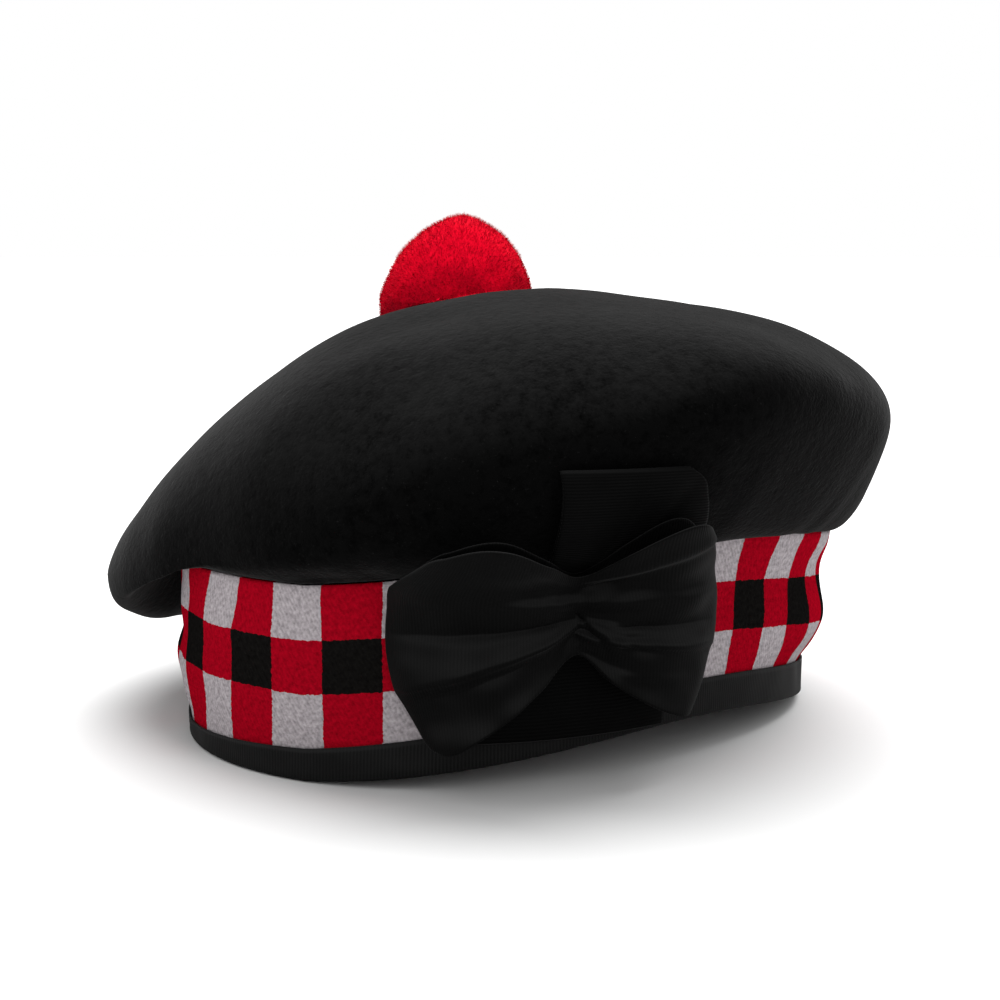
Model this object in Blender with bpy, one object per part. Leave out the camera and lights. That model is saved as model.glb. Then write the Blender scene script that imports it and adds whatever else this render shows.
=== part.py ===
# Balmoral bonnet: a soft felted wool crown gathered into a diced wool band,
# a ribbon bound over the band's lower edge, a ribbon cockade on the wearer's
# left side and a red wool toorie on top of the crown.
#
# Metres, +Z up. The front of the bonnet faces -Y and the wearer's left is +X.
# The bonnet rests by itself on its rim, front and back, at height 0.
# A direction is an angle round the bonnet in degrees: 0 is the front,
# 90 the wearer's left, 180 the back and 270 the wearer's right.

import math

import bmesh
import bpy
import numpy as np

# Driving dimensions, in metres and degrees.
HEAD_ROUND = 0.575          # round the outside of the band
OVAL_SHARE = 0.12           # share by which the front and back stand out, and the sides stand in
CLEARANCE = 0.0003          # gap between pieces that touch

SIDE_LIFT = 0.0110          # how far the rim arches off the table at the sides
REST_HALF_ANGLE = 20.0      # the rim lies flat this far to each side of front and back

BINDING_HEIGHT = 0.0104     # ribbon that shows below the dicing
BINDING_INSIDE = 0.0090     # height of the ribbon inside the band
BINDING_WALL = 0.0011

DICED_HEIGHT = 0.0396       # three rows of dicing
FRONT_RISE = 0.0017         # the band's upper edge stands higher at the front by this much
BAND_WALL = 0.0024
BAND_WAIST = 0.0010         # how far the band is drawn in at its waist
BAND_FLARE = 0.0014         # how far its lower edge stands out from the waist
WAIST_SHARE = 0.6           # height of the waist, as a share of the band's top
RIM_PINCH = 0.0050          # the soft rim is narrower than the band across one line
PINCH_DIRECTION = 53.0      # the line that it isn't pinched along
RIM_LEAN = 0.0010           # the rim's lower edge is shifted this far from under the band
LEAN_DIRECTION = 323.0

CROWN_WALL = 0.0020
CROWN_RISE = 0.0753         # top of the crown above the band's top
CROWN_OVERHANG = 0.0300     # how far the crown stands out past the mean head radius
HEM_DEPTH = 0.0060          # seam allowance tucked inside the band
LIP_OUT = 0.0010            # the crown rolls out over the band's top edge by this much
LIP_RISE = 0.0007

TOORIE_RADIUS = 0.0220
TOORIE_HEIGHT = 0.0250      # from the toorie's widest level to its top
TOORIE_LEAN = 0.0030        # the toorie's top leans back by this much
TOORIE_FULLNESS = 1.75      # 2 is a round dome, less is pointed
TOORIE_SINK = 0.0050        # from its widest level down to the crown
TOORIE_OFFSET = 0.0170      # from the middle of the crown
TOORIE_DIRECTION = 300.0    # the crown is pulled this way, and the toorie with it
TOORIE_LOCK = 0.0011        # how far a lock of wool stands out
TOORIE_GAP = 0.0008         # under its foot, where the facets of two curved pieces meet
DIMPLE_DEPTH = 0.0045       # the toorie's stitch pulls the crown in
DIMPLE_RADIUS = 0.0230

RIBBON_WIDTH = 0.0600
RIBBON_WALL = 0.0010
KNOT_DIRECTION = 63.0       # where the cockade is stitched to the band
KNOT_HEIGHT = 0.0460        # middle of the knot above the table
BOW_LEFT = 0.0400           # from the knot to the end of the loop toward the front
BOW_RIGHT = 0.0380          # from the knot to the end of the loop toward the back
BOW_BACK = 0.0072           # the bow's back layer stands off the band by up to this
BOW_STAND = 0.0120          # the bow's front layer stands off the back layer by up to this
BOW_TURN = 6                # how sharply its loops turn back at their ends, higher is sharper
UPRIGHT_TOP = 0.0390        # from the knot to the upright ribbon's upper fold
UPRIGHT_FOOT = 0.0335       # from the knot to its lower fold
UPRIGHT_BACK = 0.0016       # the upright ribbon's back layer stands off the band by this much
UPRIGHT_STAND = 0.0024      # its front layer stands off the back layer by up to this
UPRIGHT_TURN = 8            # how sharply its folds turn back

# Steps round the head, shared by all rings so that their facets nest.
RING_STEPS = 60
# Steps round the toorie, two for each lock of wool.
TOORIE_STEPS = 28

# Heights below and above itself where a ribbon feels what it lies on.
SEAT_SPAN = 0.006
SEAT_REACH = np.linspace(-SEAT_SPAN, SEAT_SPAN, 9)

# Sections of the crown, at equal steps round it from the front.
# overhang: reach of the widest point past the mean head radius, share of CROWN_OVERHANG
# height: widest point above the band's top, share of CROWN_RISE
# fullness: 1 is a cone above the widest point, 2 a round dome
# drop: how steeply the widest point turns under, share of CROWN_RISE
# tuck_out and tuck_down: where the underside turns toward the lip, outward from it as a share
# of CROWN_OVERHANG and below it as a share of CROWN_RISE
CROWN_COLUMNS = ("overhang", "height", "fullness", "drop", "tuck_out", "tuck_down")
CROWN_SECTIONS = (
    (0.53, 0.06, 2.00, 0.04, 0.10, -0.01),
    (0.56, 0.20, 2.06, 0.10, 0.16, -0.05),
    (0.67, 0.36, 2.05, 0.14, 0.23, -0.02),
    (0.75, 0.55, 2.11, 0.15, 0.22, 0.06),
    (0.79, 0.67, 2.15, 0.15, 0.21, 0.14),
    (0.73, 0.60, 2.13, 0.16, 0.17, 0.10),
    (0.69, 0.46, 2.10, 0.16, 0.13, 0.03),
    (0.79, 0.32, 2.16, 0.15, 0.14, -0.03),
    (0.91, 0.19, 2.20, 0.14, 0.16, -0.04),
    (0.99, 0.11, 2.10, 0.16, 0.17, 0.14),
    (1.04, 0.04, 1.95, 0.18, 0.17, 0.37),
    (1.06, -0.07, 1.78, 0.21, 0.16, 0.57),
    (1.07, -0.16, 1.60, 0.23, 0.15, 0.70),
    (1.11, -0.19, 1.38, 0.26, 0.16, 0.67),
    (1.07, -0.16, 1.30, 0.27, 0.19, 0.52),
    (0.80, -0.07, 1.63, 0.20, 0.28, 0.06),
)

# Soft dents in the top of the crown.
# direction: degrees from the front
# distance and width: share of the crown's reach
# depth: share of CROWN_RISE
DENT_COLUMNS = ("direction", "distance", "width", "depth")
CROWN_DENTS = (
    (15.0, 0.52, 0.24, 0.022),
    (95.0, 0.50, 0.22, 0.022),
    (190.0, 0.55, 0.28, 0.040),
    (280.0, 0.62, 0.24, 0.035),
)

# Outline of the bow, seen from outside, from its front end to its back end.
# along: share of BOW_LEFT or BOW_RIGHT
# low and high: edges of the ribbon from the knot's middle, share of RIBBON_WIDTH
# back: back layer off the band, share of BOW_BACK
# stand: front layer off the back layer, share of BOW_STAND
BOW_COLUMNS = ("along", "low", "high", "back", "stand")
BOW_OUTLINE = (
    (-1.00, -0.24, 0.12, 0.35, 0.30),
    (-0.90, -0.44, 0.25, 0.40, 0.60),
    (-0.76, -0.53, 0.31, 0.50, 0.85),
    (-0.47, -0.46, 0.36, 0.95, 1.00),
    (-0.22, -0.31, 0.27, 1.00, 0.80),
    (0.00, -0.17, 0.18, 1.00, 0.40),
    (0.22, -0.31, 0.28, 1.00, 0.80),
    (0.50, -0.43, 0.36, 1.00, 1.00),
    (0.76, -0.46, 0.37, 1.00, 0.80),
    (0.92, -0.38, 0.33, 0.95, 0.50),
    (1.00, -0.22, 0.22, 0.90, 0.25),
)

# Folds that radiate from the knot over the bow. They start at the knot, reach their full
# height at FOLD_START_SHARE of its length and keep FOLD_END_SHARE of it at the loop's end.
# side: -1 toward the front, 1 toward the back
# place: across the ribbon, -1 at its lower edge and 1 at its upper edge
# width: across the ribbon, in the same measure
# height: share of BOW_STAND, negative for a valley
FOLD_START_SHARE = 0.25
FOLD_END_SHARE = 0.4
FOLD_COLUMNS = ("side", "place", "width", "height")
BOW_FOLDS = (
    (-1, 0.46, 0.16, 0.25),
    (-1, 0.20, 0.15, -0.32),
    (-1, -0.12, 0.17, 0.34),
    (-1, -0.55, 0.28, -0.22),
    (1, 0.86, 0.14, 0.18),
    (1, 0.70, 0.10, -0.20),
    (1, 0.46, 0.18, 0.24),
    (1, 0.10, 0.18, -0.30),
    (1, -0.26, 0.12, 0.30),
    (1, -0.60, 0.26, -0.24),
)

# Outline of the upright ribbon, from its lower fold to its upper fold.
# along: share of UPRIGHT_FOOT or UPRIGHT_TOP
# front and back: edges of the ribbon from the knot's middle, share of RIBBON_WIDTH
# stand: front layer off the back layer, share of UPRIGHT_STAND
UPRIGHT_COLUMNS = ("along", "front", "back", "stand")
UPRIGHT_OUTLINE = (
    (-1.00, -0.38, 0.48, 0.6),
    (-0.55, -0.30, 0.44, 1.0),
    (0.00, -0.14, 0.22, 0.8),
    (0.55, -0.20, 0.47, 1.0),
    (1.00, -0.22, 0.41, 0.6),
)


def mean_head_radius():
    """Radius that gives the oval outline its length HEAD_ROUND."""
    angles = np.linspace(0.0, 2.0 * math.pi, 721)
    radii = 1.0 + OVAL_SHARE * np.cos(2.0 * angles)
    xs = radii * np.sin(angles)
    ys = -radii * np.cos(angles)
    return HEAD_ROUND / np.hypot(np.diff(xs), np.diff(ys)).sum()


HEAD_RADIUS = mean_head_radius()
BAND_TOP = BINDING_HEIGHT + DICED_HEIGHT


def head_radius(direction):
    """Distance from the axis to the head outline."""
    return HEAD_RADIUS * (1.0 + OVAL_SHARE * math.cos(2.0 * math.radians(direction)))


def rim_lift(direction):
    """Height of the rim's lower edge above the table."""
    start = math.sin(math.radians(REST_HALF_ANGLE)) ** 2
    side = math.sin(math.radians(direction)) ** 2
    return SIDE_LIFT * max(0.0, (side - start) / (1.0 - start))


def top_edge_height(direction):
    """Height of the band's upper edge, which stands highest at the front."""
    front = max(0.0, math.cos(math.radians(direction)))
    return rim_lift(direction) + BAND_TOP + FRONT_RISE * front


def band_radius(direction, height):
    """Outer face of the band, height measured from the rim's lower edge."""
    share = (height / BAND_TOP - WAIST_SHARE) / WAIST_SHARE
    pinch = RIM_PINCH * math.sin(math.radians(direction - PINCH_DIRECTION)) ** 2
    lean = RIM_LEAN * math.cos(math.radians(direction - LEAN_DIRECTION))
    low = 1.0 - height / BAND_TOP
    return (head_radius(direction) - BAND_WAIST + BAND_FLARE * share ** 2
            + (lean - pinch) * low ** 2)


def point(direction, radius, height):
    """Place of a direction, a distance from the axis and a height."""
    angle = math.radians(direction)
    return (radius * math.sin(angle), -radius * math.cos(angle), height)


def smooth_row(rows, place):
    """Catmull-Rom value between evenly spaced rows, place counted in rows, round and round."""
    first = math.floor(place)
    share = place - first
    before, start, end, after = (np.array(rows[(first + k) % len(rows)]) for k in (-1, 0, 1, 2))
    bend = (2.0 * start + (end - before) * share
            + (2.0 * before - 5.0 * start + 4.0 * end - after) * share ** 2
            + (3.0 * start - before - 3.0 * end + after) * share ** 3)
    return 0.5 * bend


def table_value(columns, rows, name, place):
    """Smooth value of one column of a table whose first column is the place."""
    places = np.array([row[0] for row in rows])
    values = np.array([row[columns.index(name)] for row in rows])
    slopes = np.gradient(values, places)
    index = int(np.clip(np.searchsorted(places, place) - 1, 0, len(places) - 2))
    step = places[index + 1] - places[index]
    share = min(max((place - places[index]) / step, 0.0), 1.0)
    rest = 1.0 - share
    return (values[index] * (1.0 + 2.0 * share) * rest ** 2
            + slopes[index] * step * share * rest ** 2
            + values[index + 1] * share ** 2 * (3.0 - 2.0 * share)
            - slopes[index + 1] * step * share ** 2 * rest)


def toorie_place():
    """Middle of the toorie, seen from above."""
    return point(TOORIE_DIRECTION, TOORIE_OFFSET, 0.0)[:2]


def sink(x, y):
    """How far the toorie's stitch and the soft dents lower the top of the crown at a place."""
    middle = toorie_place()
    distance = math.hypot(x - middle[0], y - middle[1])
    total = DIMPLE_DEPTH * math.exp(-(distance / DIMPLE_RADIUS) ** 2)
    reach = HEAD_RADIUS + CROWN_OVERHANG
    for row in CROWN_DENTS:
        dent = dict(zip(DENT_COLUMNS, row))
        middle = point(dent["direction"], reach * dent["distance"], 0.0)
        distance = math.hypot(x - middle[0], y - middle[1])
        total += CROWN_RISE * dent["depth"] * math.exp(-(distance / (reach * dent["width"])) ** 2)
    return total


def crown_section(direction):
    """Named measures of the crown's section in a direction."""
    step = 360.0 / len(CROWN_SECTIONS)
    section = dict(zip(CROWN_COLUMNS, smooth_row(CROWN_SECTIONS, direction / step)))
    reach = HEAD_RADIUS + CROWN_OVERHANG * section["overhang"]
    height = BAND_TOP + CROWN_RISE * section["height"]
    top_edge = top_edge_height(direction)
    lip = (band_radius(direction, BAND_TOP) + LIP_OUT, top_edge + LIP_RISE)
    tuck = (lip[0] + CROWN_OVERHANG * section["tuck_out"],
            lip[1] - CROWN_RISE * section["tuck_down"])
    turn = (reach, height - CROWN_RISE * section["drop"])
    return {"widest": (reach, height), "turn": turn, "tuck": tuck, "lip": lip,
            "fullness": section["fullness"], "top_edge": top_edge}


def underside(section, shares):
    """Cubic Bezier from the lip, share 0, to the crown's widest point, share 1."""
    corners = [np.array(section[name]) for name in ("lip", "tuck", "turn", "widest")]
    share = np.array(shares)[:, None]
    rest = 1.0 - share
    return (rest ** 3 * corners[0] + 3.0 * rest ** 2 * share * corners[1]
            + 3.0 * rest * share ** 2 * corners[2] + share ** 3 * corners[3])


def dome(section, angles):
    """Superellipse from the widest point, angle 0, to the crown's top, angle 90 degrees."""
    reach, height = section["widest"]
    power = 2.0 / section["fullness"]
    turned = np.radians(angles)
    up = np.sin(turned) ** power
    return np.stack((reach * np.cos(turned) ** power,
                     height + (BAND_TOP + CROWN_RISE - height) * up), axis=1)


def crown_top(x, y):
    """Height of the crown's upper side over a place near its middle."""
    direction = math.degrees(math.atan2(x, -y)) % 360.0
    section = crown_section(direction)
    reach, height = section["widest"]
    full = section["fullness"]
    up = (1.0 - (math.hypot(x, y) / reach) ** full) ** (1.0 / full)
    return height + (BAND_TOP + CROWN_RISE - height) * up - sink(x, y)


def crown_profile(direction, under_shares, dome_angles):
    """Outer profile of the crown as distances and heights, hem first and top last."""
    section = crown_section(direction)
    edge = band_radius(direction, BAND_TOP)
    low_edge = band_radius(direction, BAND_TOP - HEM_DEPTH)
    inside = BAND_WALL + CLEARANCE
    top_edge = section["top_edge"]
    hem = ((low_edge - inside, top_edge - HEM_DEPTH),
           (edge - inside, top_edge + CLEARANCE),
           (edge - BAND_WALL / 2.0, top_edge + LIP_RISE))
    return np.concatenate((hem, underside(section, under_shares), dome(section, dome_angles)))


def offset_inward(profile, wall):
    """The same profile moved to its inner side by the wall's thickness."""
    along = np.gradient(profile, axis=0)
    along /= np.linalg.norm(along, axis=1)[:, None]
    inward = np.stack((-along[:, 1], along[:, 0]), axis=1)
    return profile + wall * inward


def new_material(name, colour, roughness):
    """Plain cloth material, colour in linear light."""
    material = bpy.data.materials.new(name)
    material.use_nodes = True
    shader = material.node_tree.nodes["Principled BSDF"]
    shader.inputs["Base Color"].default_value = (*colour, 1.0)
    shader.inputs["Roughness"].default_value = roughness
    shader.inputs["Metallic"].default_value = 0.0
    material.diffuse_color = (*colour, 1.0)
    return material


def new_object(name, vertices, faces, material):
    """Closed, smooth mesh object with its faces pointing out."""
    mesh = bpy.data.meshes.new(name)
    mesh.from_pydata([tuple(place) for place in vertices], [], faces)
    shape = bmesh.new()
    shape.from_mesh(mesh)
    bmesh.ops.recalc_face_normals(shape, faces=shape.faces)
    shape.to_mesh(mesh)
    shape.free()
    mesh.shade_smooth()
    mesh.set_sharp_from_angle(angle=math.radians(50.0))
    mesh.materials.append(material)
    item = bpy.data.objects.new(name, mesh)
    bpy.context.scene.collection.objects.link(item)
    return item


def ring_faces(ring_count, ring_size, closed):
    """Quads between rings of vertices; closed joins the last ring to the first."""
    faces = []
    for ring in range(ring_count if closed else ring_count - 1):
        following = (ring + 1) % ring_count
        for step in range(ring_size):
            after = (step + 1) % ring_size
            faces.append((ring * ring_size + step, ring * ring_size + after,
                          following * ring_size + after, following * ring_size + step))
    return faces


def capped_faces(ring_count, ring_size):
    """Faces of a shape made of one point, some rings of vertices and one more point."""
    faces = [tuple(index + 1 for index in face)
             for face in ring_faces(ring_count, ring_size, False)]
    last = 1 + (ring_count - 1) * ring_size
    for step in range(ring_size):
        after = (step + 1) % ring_size
        faces.append((0, 1 + step, 1 + after))
        faces.append((last + ring_size, last + step, last + after))
    return faces


def ring_directions():
    """Directions of the steps round the head."""
    return [360.0 * step / RING_STEPS for step in range(RING_STEPS)]


def turned_ring(name, section_at, material):
    """Ring round the head whose section, a closed loop, may differ in each direction."""
    vertices = []
    for direction in ring_directions():
        for radius, height in section_at(direction):
            vertices.append(point(direction, radius, height))
    size = len(vertices) // RING_STEPS
    return new_object(name, vertices, ring_faces(RING_STEPS, size, True), material)


def make_diced_band(material):
    """Wool band, drawn in at the waist, standing inside the binding at its foot."""
    foot = BINDING_WALL + CLEARANCE
    heights = (foot, BINDING_HEIGHT, WAIST_SHARE * BAND_TOP,
               (1.0 + WAIST_SHARE) / 2.0 * BAND_TOP, BAND_TOP)

    def section(direction):
        levels = [rim_lift(direction) + height for height in heights[:-1]]
        levels.append(top_edge_height(direction))
        outer = [(band_radius(direction, height), level) for height, level in zip(heights, levels)]
        inner = [(radius - BAND_WALL, level) for radius, level in reversed(outer[::2])]
        return outer + inner

    return turned_ring("diced_band", section, material)


def make_edge_binding(material):
    """Ribbon folded over the band's lower edge."""

    def section(direction):
        lift = rim_lift(direction)
        near_foot = band_radius(direction, 0.0)
        near_top = band_radius(direction, BINDING_HEIGHT)
        slack = CLEARANCE + BINDING_WALL
        inner_top = band_radius(direction, BINDING_INSIDE) - BAND_WALL
        inner_foot = near_foot - BAND_WALL
        places = ((near_foot + slack, 0.0),
                  (near_top + slack, BINDING_HEIGHT),
                  (near_top + CLEARANCE, BINDING_HEIGHT),
                  (near_foot + CLEARANCE, BINDING_WALL),
                  (inner_foot - CLEARANCE, BINDING_WALL),
                  (inner_top - CLEARANCE, BINDING_INSIDE),
                  (inner_top - slack, BINDING_INSIDE),
                  (inner_foot - slack, 0.0))
        return [(radius, lift + height) for radius, height in places]

    return turned_ring("edge_binding", section, material)


def crown_ring(direction, profile, rows, dome_start):
    """Vertices of the crown in one direction, those of its dome lowered by the dents."""
    ring = []
    for row in rows:
        x, y, z = point(direction, *profile[row])
        ring.append((x, y, z - sink(x, y) if row >= dome_start else z))
    return ring


def make_crown(material):
    """Soft hollow crown, open below, its hem tucked inside the band."""
    under_shares = (0.0, 0.14, 0.3, 0.48, 0.66, 0.84)
    dome_angles = (0.0, 9.0, 18.0, 28.0, 38.0, 47.0, 55.0, 62.0, 68.0, 73.0, 77.5, 82.0, 86.5)
    inner_rows = (0, 1, 3, 5, 7, 9, 10, 12, 14, 16, 18, 20, 21)
    outer_rings = []
    inner_rings = []
    for direction in ring_directions():
        outer = crown_profile(direction, under_shares, dome_angles)
        inner = offset_inward(outer, CROWN_WALL)
        dome_start = len(outer) - len(dome_angles)
        outer_rings.append(crown_ring(direction, outer, range(len(outer)), dome_start))
        inner_rings.append(crown_ring(direction, inner, inner_rows, dome_start))
    rows = [[ring[row] for ring in inner_rings] for row in reversed(range(len(inner_rows)))]
    rows += [[ring[row] for ring in outer_rings] for row in range(len(outer_rings[0]))]
    top = BAND_TOP + CROWN_RISE - sink(0.0, 0.0)
    vertices = [(0.0, 0.0, top - CROWN_WALL)]
    for row in rows:
        vertices += row
    vertices.append((0.0, 0.0, top))
    return new_object("crown", vertices, capped_faces(len(rows), RING_STEPS), material)


def make_toorie(material):
    """Pompom of short wool locks, its foot fitted to the crown's dimple."""
    middle = toorie_place()
    widest = crown_top(*middle) + TOORIE_SINK
    power = 2.0 / TOORIE_FULLNESS
    foot_shares = (0.45, 0.86)
    row_angles = (0.0, 13.0, 26.0, 39.0, 52.0, 65.0, 78.0)
    vertices = [(*middle, crown_top(*middle) + TOORIE_GAP)]
    for share in foot_shares:
        for step in range(TOORIE_STEPS):
            around = 2.0 * math.pi * step / TOORIE_STEPS
            x = middle[0] + TOORIE_RADIUS * share * math.cos(around)
            y = middle[1] + TOORIE_RADIUS * share * math.sin(around)
            vertices.append((x, y, crown_top(x, y) + TOORIE_GAP))
    for row, angle in enumerate(row_angles):
        for step in range(TOORIE_STEPS):
            around = 2.0 * math.pi * (step + 0.5 * (row % 2)) / TOORIE_STEPS
            lock = TOORIE_LOCK * (1.0 if (step + row) % 2 else -1.0)
            radius = (TOORIE_RADIUS + lock) * math.cos(math.radians(angle)) ** power
            height = (TOORIE_HEIGHT + lock) * math.sin(math.radians(angle)) ** power
            lean = TOORIE_LEAN * height / TOORIE_HEIGHT
            x = middle[0] + radius * math.cos(around)
            y = middle[1] + radius * math.sin(around) + lean
            vertices.append((x, y, max(widest + height, crown_top(x, y) + TOORIE_GAP)))
    vertices.append((middle[0], middle[1] + TOORIE_LEAN, widest + TOORIE_HEIGHT))
    faces = capped_faces(len(foot_shares) + len(row_angles), TOORIE_STEPS)
    return new_object("toorie", vertices, faces, material)


def outermost(direction, heights):
    """Distances from the axis to the outside of the binding, band or crown at some heights."""
    lift = rim_lift(direction)
    section = crown_section(direction)
    outline = np.concatenate((underside(section, np.linspace(0.0, 1.0, 13)),
                              dome(section, np.linspace(7.0, 84.0, 12))))
    starts = outline[:-1]
    steps = np.diff(outline, axis=0)
    radii = []
    for height in heights:
        above_rim = min(max(height - lift, 0.0), BAND_TOP)
        wall = band_radius(direction, above_rim)
        if height - lift < BINDING_HEIGHT:
            wall += CLEARANCE + BINDING_WALL
        shares = (height - starts[:, 1]) / steps[:, 1]
        crossed = (shares >= 0.0) & (shares <= 1.0)
        reached = starts[crossed, 0] + shares[crossed] * steps[crossed, 0]
        radii.append(max([wall, *reached]))
    return np.array(radii)


def seat(direction, height):
    """The outside of the bonnet as a ribbon lies on it, bridging its small steps."""
    half = len(SEAT_REACH) // 2
    radii = outermost(direction, [height + reach for reach in SEAT_REACH])
    bridged = [radii[start:start + half + 1].max() for start in range(half + 1)]
    return sum(bridged) / len(bridged)


def ribbon_place(along, height, off):
    """Point at a distance along the band from the knot, a height and a stand-off."""
    direction = KNOT_DIRECTION + math.degrees(along / seat(KNOT_DIRECTION, height))
    return point(direction, seat(direction, height) + off, height)


def ribbon_ring(name, middle, material):
    """Ribbon sewn into a ring and laid flat: a wall round a closed grid of middle points."""
    grid = np.array(middle)
    along = np.roll(grid, -1, axis=0) - np.roll(grid, 1, axis=0)
    across = np.gradient(grid, axis=1)
    normal = np.cross(along, across)
    normal /= np.linalg.norm(normal, axis=2)[:, :, None]
    half = RIBBON_WALL / 2.0
    loops = np.concatenate((grid + half * normal, (grid - half * normal)[:, ::-1]), axis=1)
    ring_count, ring_size = loops.shape[:2]
    return new_object(name, loops.reshape(-1, 3), ring_faces(ring_count, ring_size, True),
                      material)


def ring_places(front_places):
    """Places along a ribbon ring, out over its front layer and home over its back layer."""
    home = [(place, False) for place in reversed(front_places[1:-1])]
    return [(place, True) for place in front_places] + home


def fold_height(place, across):
    """Height of the folds that radiate from the knot, as a share of BOW_STAND."""
    total = 0.0
    for row in BOW_FOLDS:
        fold = dict(zip(FOLD_COLUMNS, row))
        start = min(max(fold["side"] * place / FOLD_START_SHARE, 0.0), 1.0)
        fade = 1.0 - (1.0 - FOLD_END_SHARE) * abs(place)
        shape = math.exp(-((across - fold["place"]) / fold["width"]) ** 2)
        total += start * fade * fold["height"] * shape
    return total


def make_cockade_bow(material):
    """Bow of wide ribbon, pinched at the knot, its two loops laid along the band."""
    front_places = (-1.0, -0.96, -0.84, -0.68, -0.52, -0.38, -0.25, -0.14, 0.0,
                    0.14, 0.25, 0.38, 0.52, 0.68, 0.84, 0.96, 1.0)
    across_places = np.linspace(-1.0, 1.0, 13)
    middle = []
    for place, is_front in ring_places(front_places):
        low = table_value(BOW_COLUMNS, BOW_OUTLINE, "low", place)
        high = table_value(BOW_COLUMNS, BOW_OUTLINE, "high", place)
        back = BOW_BACK * table_value(BOW_COLUMNS, BOW_OUTLINE, "back", place)
        stand = BOW_STAND * table_value(BOW_COLUMNS, BOW_OUTLINE, "stand", place)
        turn = math.sqrt(max(1.0 - abs(place) ** BOW_TURN, 0.0))
        along = place * (BOW_LEFT if place < 0.0 else BOW_RIGHT)
        row = []
        for across in across_places:
            share = (across + 1.0) / 2.0
            height = KNOT_HEIGHT + RIBBON_WIDTH * (low + (high - low) * share)
            off = back + stand / 2.0
            if is_front:
                off += turn * (stand / 2.0 + BOW_STAND * fold_height(place, across))
            else:
                off -= turn * stand / 2.0
            row.append(ribbon_place(along, height, off))
        middle.append(row)
    return ribbon_ring("cockade_bow", middle, material)


def make_cockade_upright(material):
    """Upright ribbon under the bow, from the binding up over the side of the crown."""
    front_places = (-1.0, -0.95, -0.8, -0.6, -0.4, -0.2, 0.0, 0.2, 0.4, 0.6, 0.8, 0.95, 1.0)
    across_places = np.linspace(0.0, 1.0, 9)
    middle = []
    for place, is_front in ring_places(front_places):
        front = table_value(UPRIGHT_COLUMNS, UPRIGHT_OUTLINE, "front", place)
        back = table_value(UPRIGHT_COLUMNS, UPRIGHT_OUTLINE, "back", place)
        stand = UPRIGHT_STAND * table_value(UPRIGHT_COLUMNS, UPRIGHT_OUTLINE, "stand", place)
        turn = math.sqrt(max(1.0 - abs(place) ** UPRIGHT_TURN, 0.0)) * (0.5 if is_front else -0.5)
        height = KNOT_HEIGHT + place * (UPRIGHT_FOOT if place < 0.0 else UPRIGHT_TOP)
        off = UPRIGHT_BACK + stand * (0.5 + turn)
        row = [ribbon_place(RIBBON_WIDTH * (front + (back - front) * share), height, off)
               for share in across_places]
        middle.append(row)
    return ribbon_ring("cockade_upright", middle, material)


def centre_on_box(items):
    """Stand the pieces so that the middle of their box's foot is the origin."""
    places = [item.matrix_world @ vertex.co for item in items for vertex in item.data.vertices]
    for axis in (0, 1):
        middle = (min(place[axis] for place in places) + max(place[axis] for place in places)) / 2.0
        for item in items:
            item.location[axis] = -middle


def make_bonnet():
    """Every piece of the bonnet, each with its own material."""
    for item in list(bpy.data.objects):
        bpy.data.objects.remove(item)
    centre_on_box([
        make_crown(new_material("black_felted_wool", (0.012, 0.012, 0.013), 0.95)),
        make_diced_band(new_material("diced_wool", (0.55, 0.03, 0.04), 0.9)),
        make_edge_binding(new_material("black_ribbed_ribbon", (0.010, 0.010, 0.012), 0.6)),
        make_cockade_upright(new_material("black_upright_ribbon", (0.010, 0.010, 0.012), 0.55)),
        make_cockade_bow(new_material("black_bow_ribbon", (0.012, 0.012, 0.014), 0.55)),
        make_toorie(new_material("red_wool", (0.60, 0.01, 0.02), 0.95)),
    ])


make_bonnet()
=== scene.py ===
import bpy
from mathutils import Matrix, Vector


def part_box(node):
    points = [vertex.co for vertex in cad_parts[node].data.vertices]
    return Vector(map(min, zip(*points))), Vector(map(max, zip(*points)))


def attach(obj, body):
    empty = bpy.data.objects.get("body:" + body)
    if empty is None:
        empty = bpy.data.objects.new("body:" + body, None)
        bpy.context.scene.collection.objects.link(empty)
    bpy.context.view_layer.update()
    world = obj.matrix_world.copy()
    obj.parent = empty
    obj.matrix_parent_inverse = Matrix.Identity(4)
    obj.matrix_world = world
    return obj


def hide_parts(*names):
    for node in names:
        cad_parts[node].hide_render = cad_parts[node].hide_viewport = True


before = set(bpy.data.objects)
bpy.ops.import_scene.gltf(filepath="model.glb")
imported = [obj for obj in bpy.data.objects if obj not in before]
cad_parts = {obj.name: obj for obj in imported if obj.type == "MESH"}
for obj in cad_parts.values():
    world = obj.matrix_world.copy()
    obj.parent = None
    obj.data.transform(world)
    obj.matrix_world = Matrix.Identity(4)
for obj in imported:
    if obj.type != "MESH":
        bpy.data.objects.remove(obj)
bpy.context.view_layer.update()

import math

import bpy
import numpy as np

# A balmoral bonnet, standing on its rim: felted wool crown, diced band, ribbon binding,
# ribbon cockade on the wearer's left, and a clipped wool toorie.
# Lengths are metres. A direction is an angle round the head in degrees: 0 is the front,
# 90 the wearer's left. Every surface is worked out round the head's axis, and the axis
# stands in the middle of the band's own box.

bandLow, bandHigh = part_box("diced_band")
axisPlace = np.array(((bandLow.x + bandHigh.x) / 2.0, (bandLow.y + bandHigh.y) / 2.0, 0.0))


def linearColour(hexColour):
    # sRGB hex to linear light: c / 12.92 below 0.04045, else ((c + 0.055) / 1.055) ** 2.4
    parts = [int(hexColour[start:start + 2], 16) / 255.0 for start in (1, 3, 5)]
    return tuple(part / 12.92 if part <= 0.04045 else ((part + 0.055) / 1.055) ** 2.4
                 for part in parts) + (1.0,)


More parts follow.
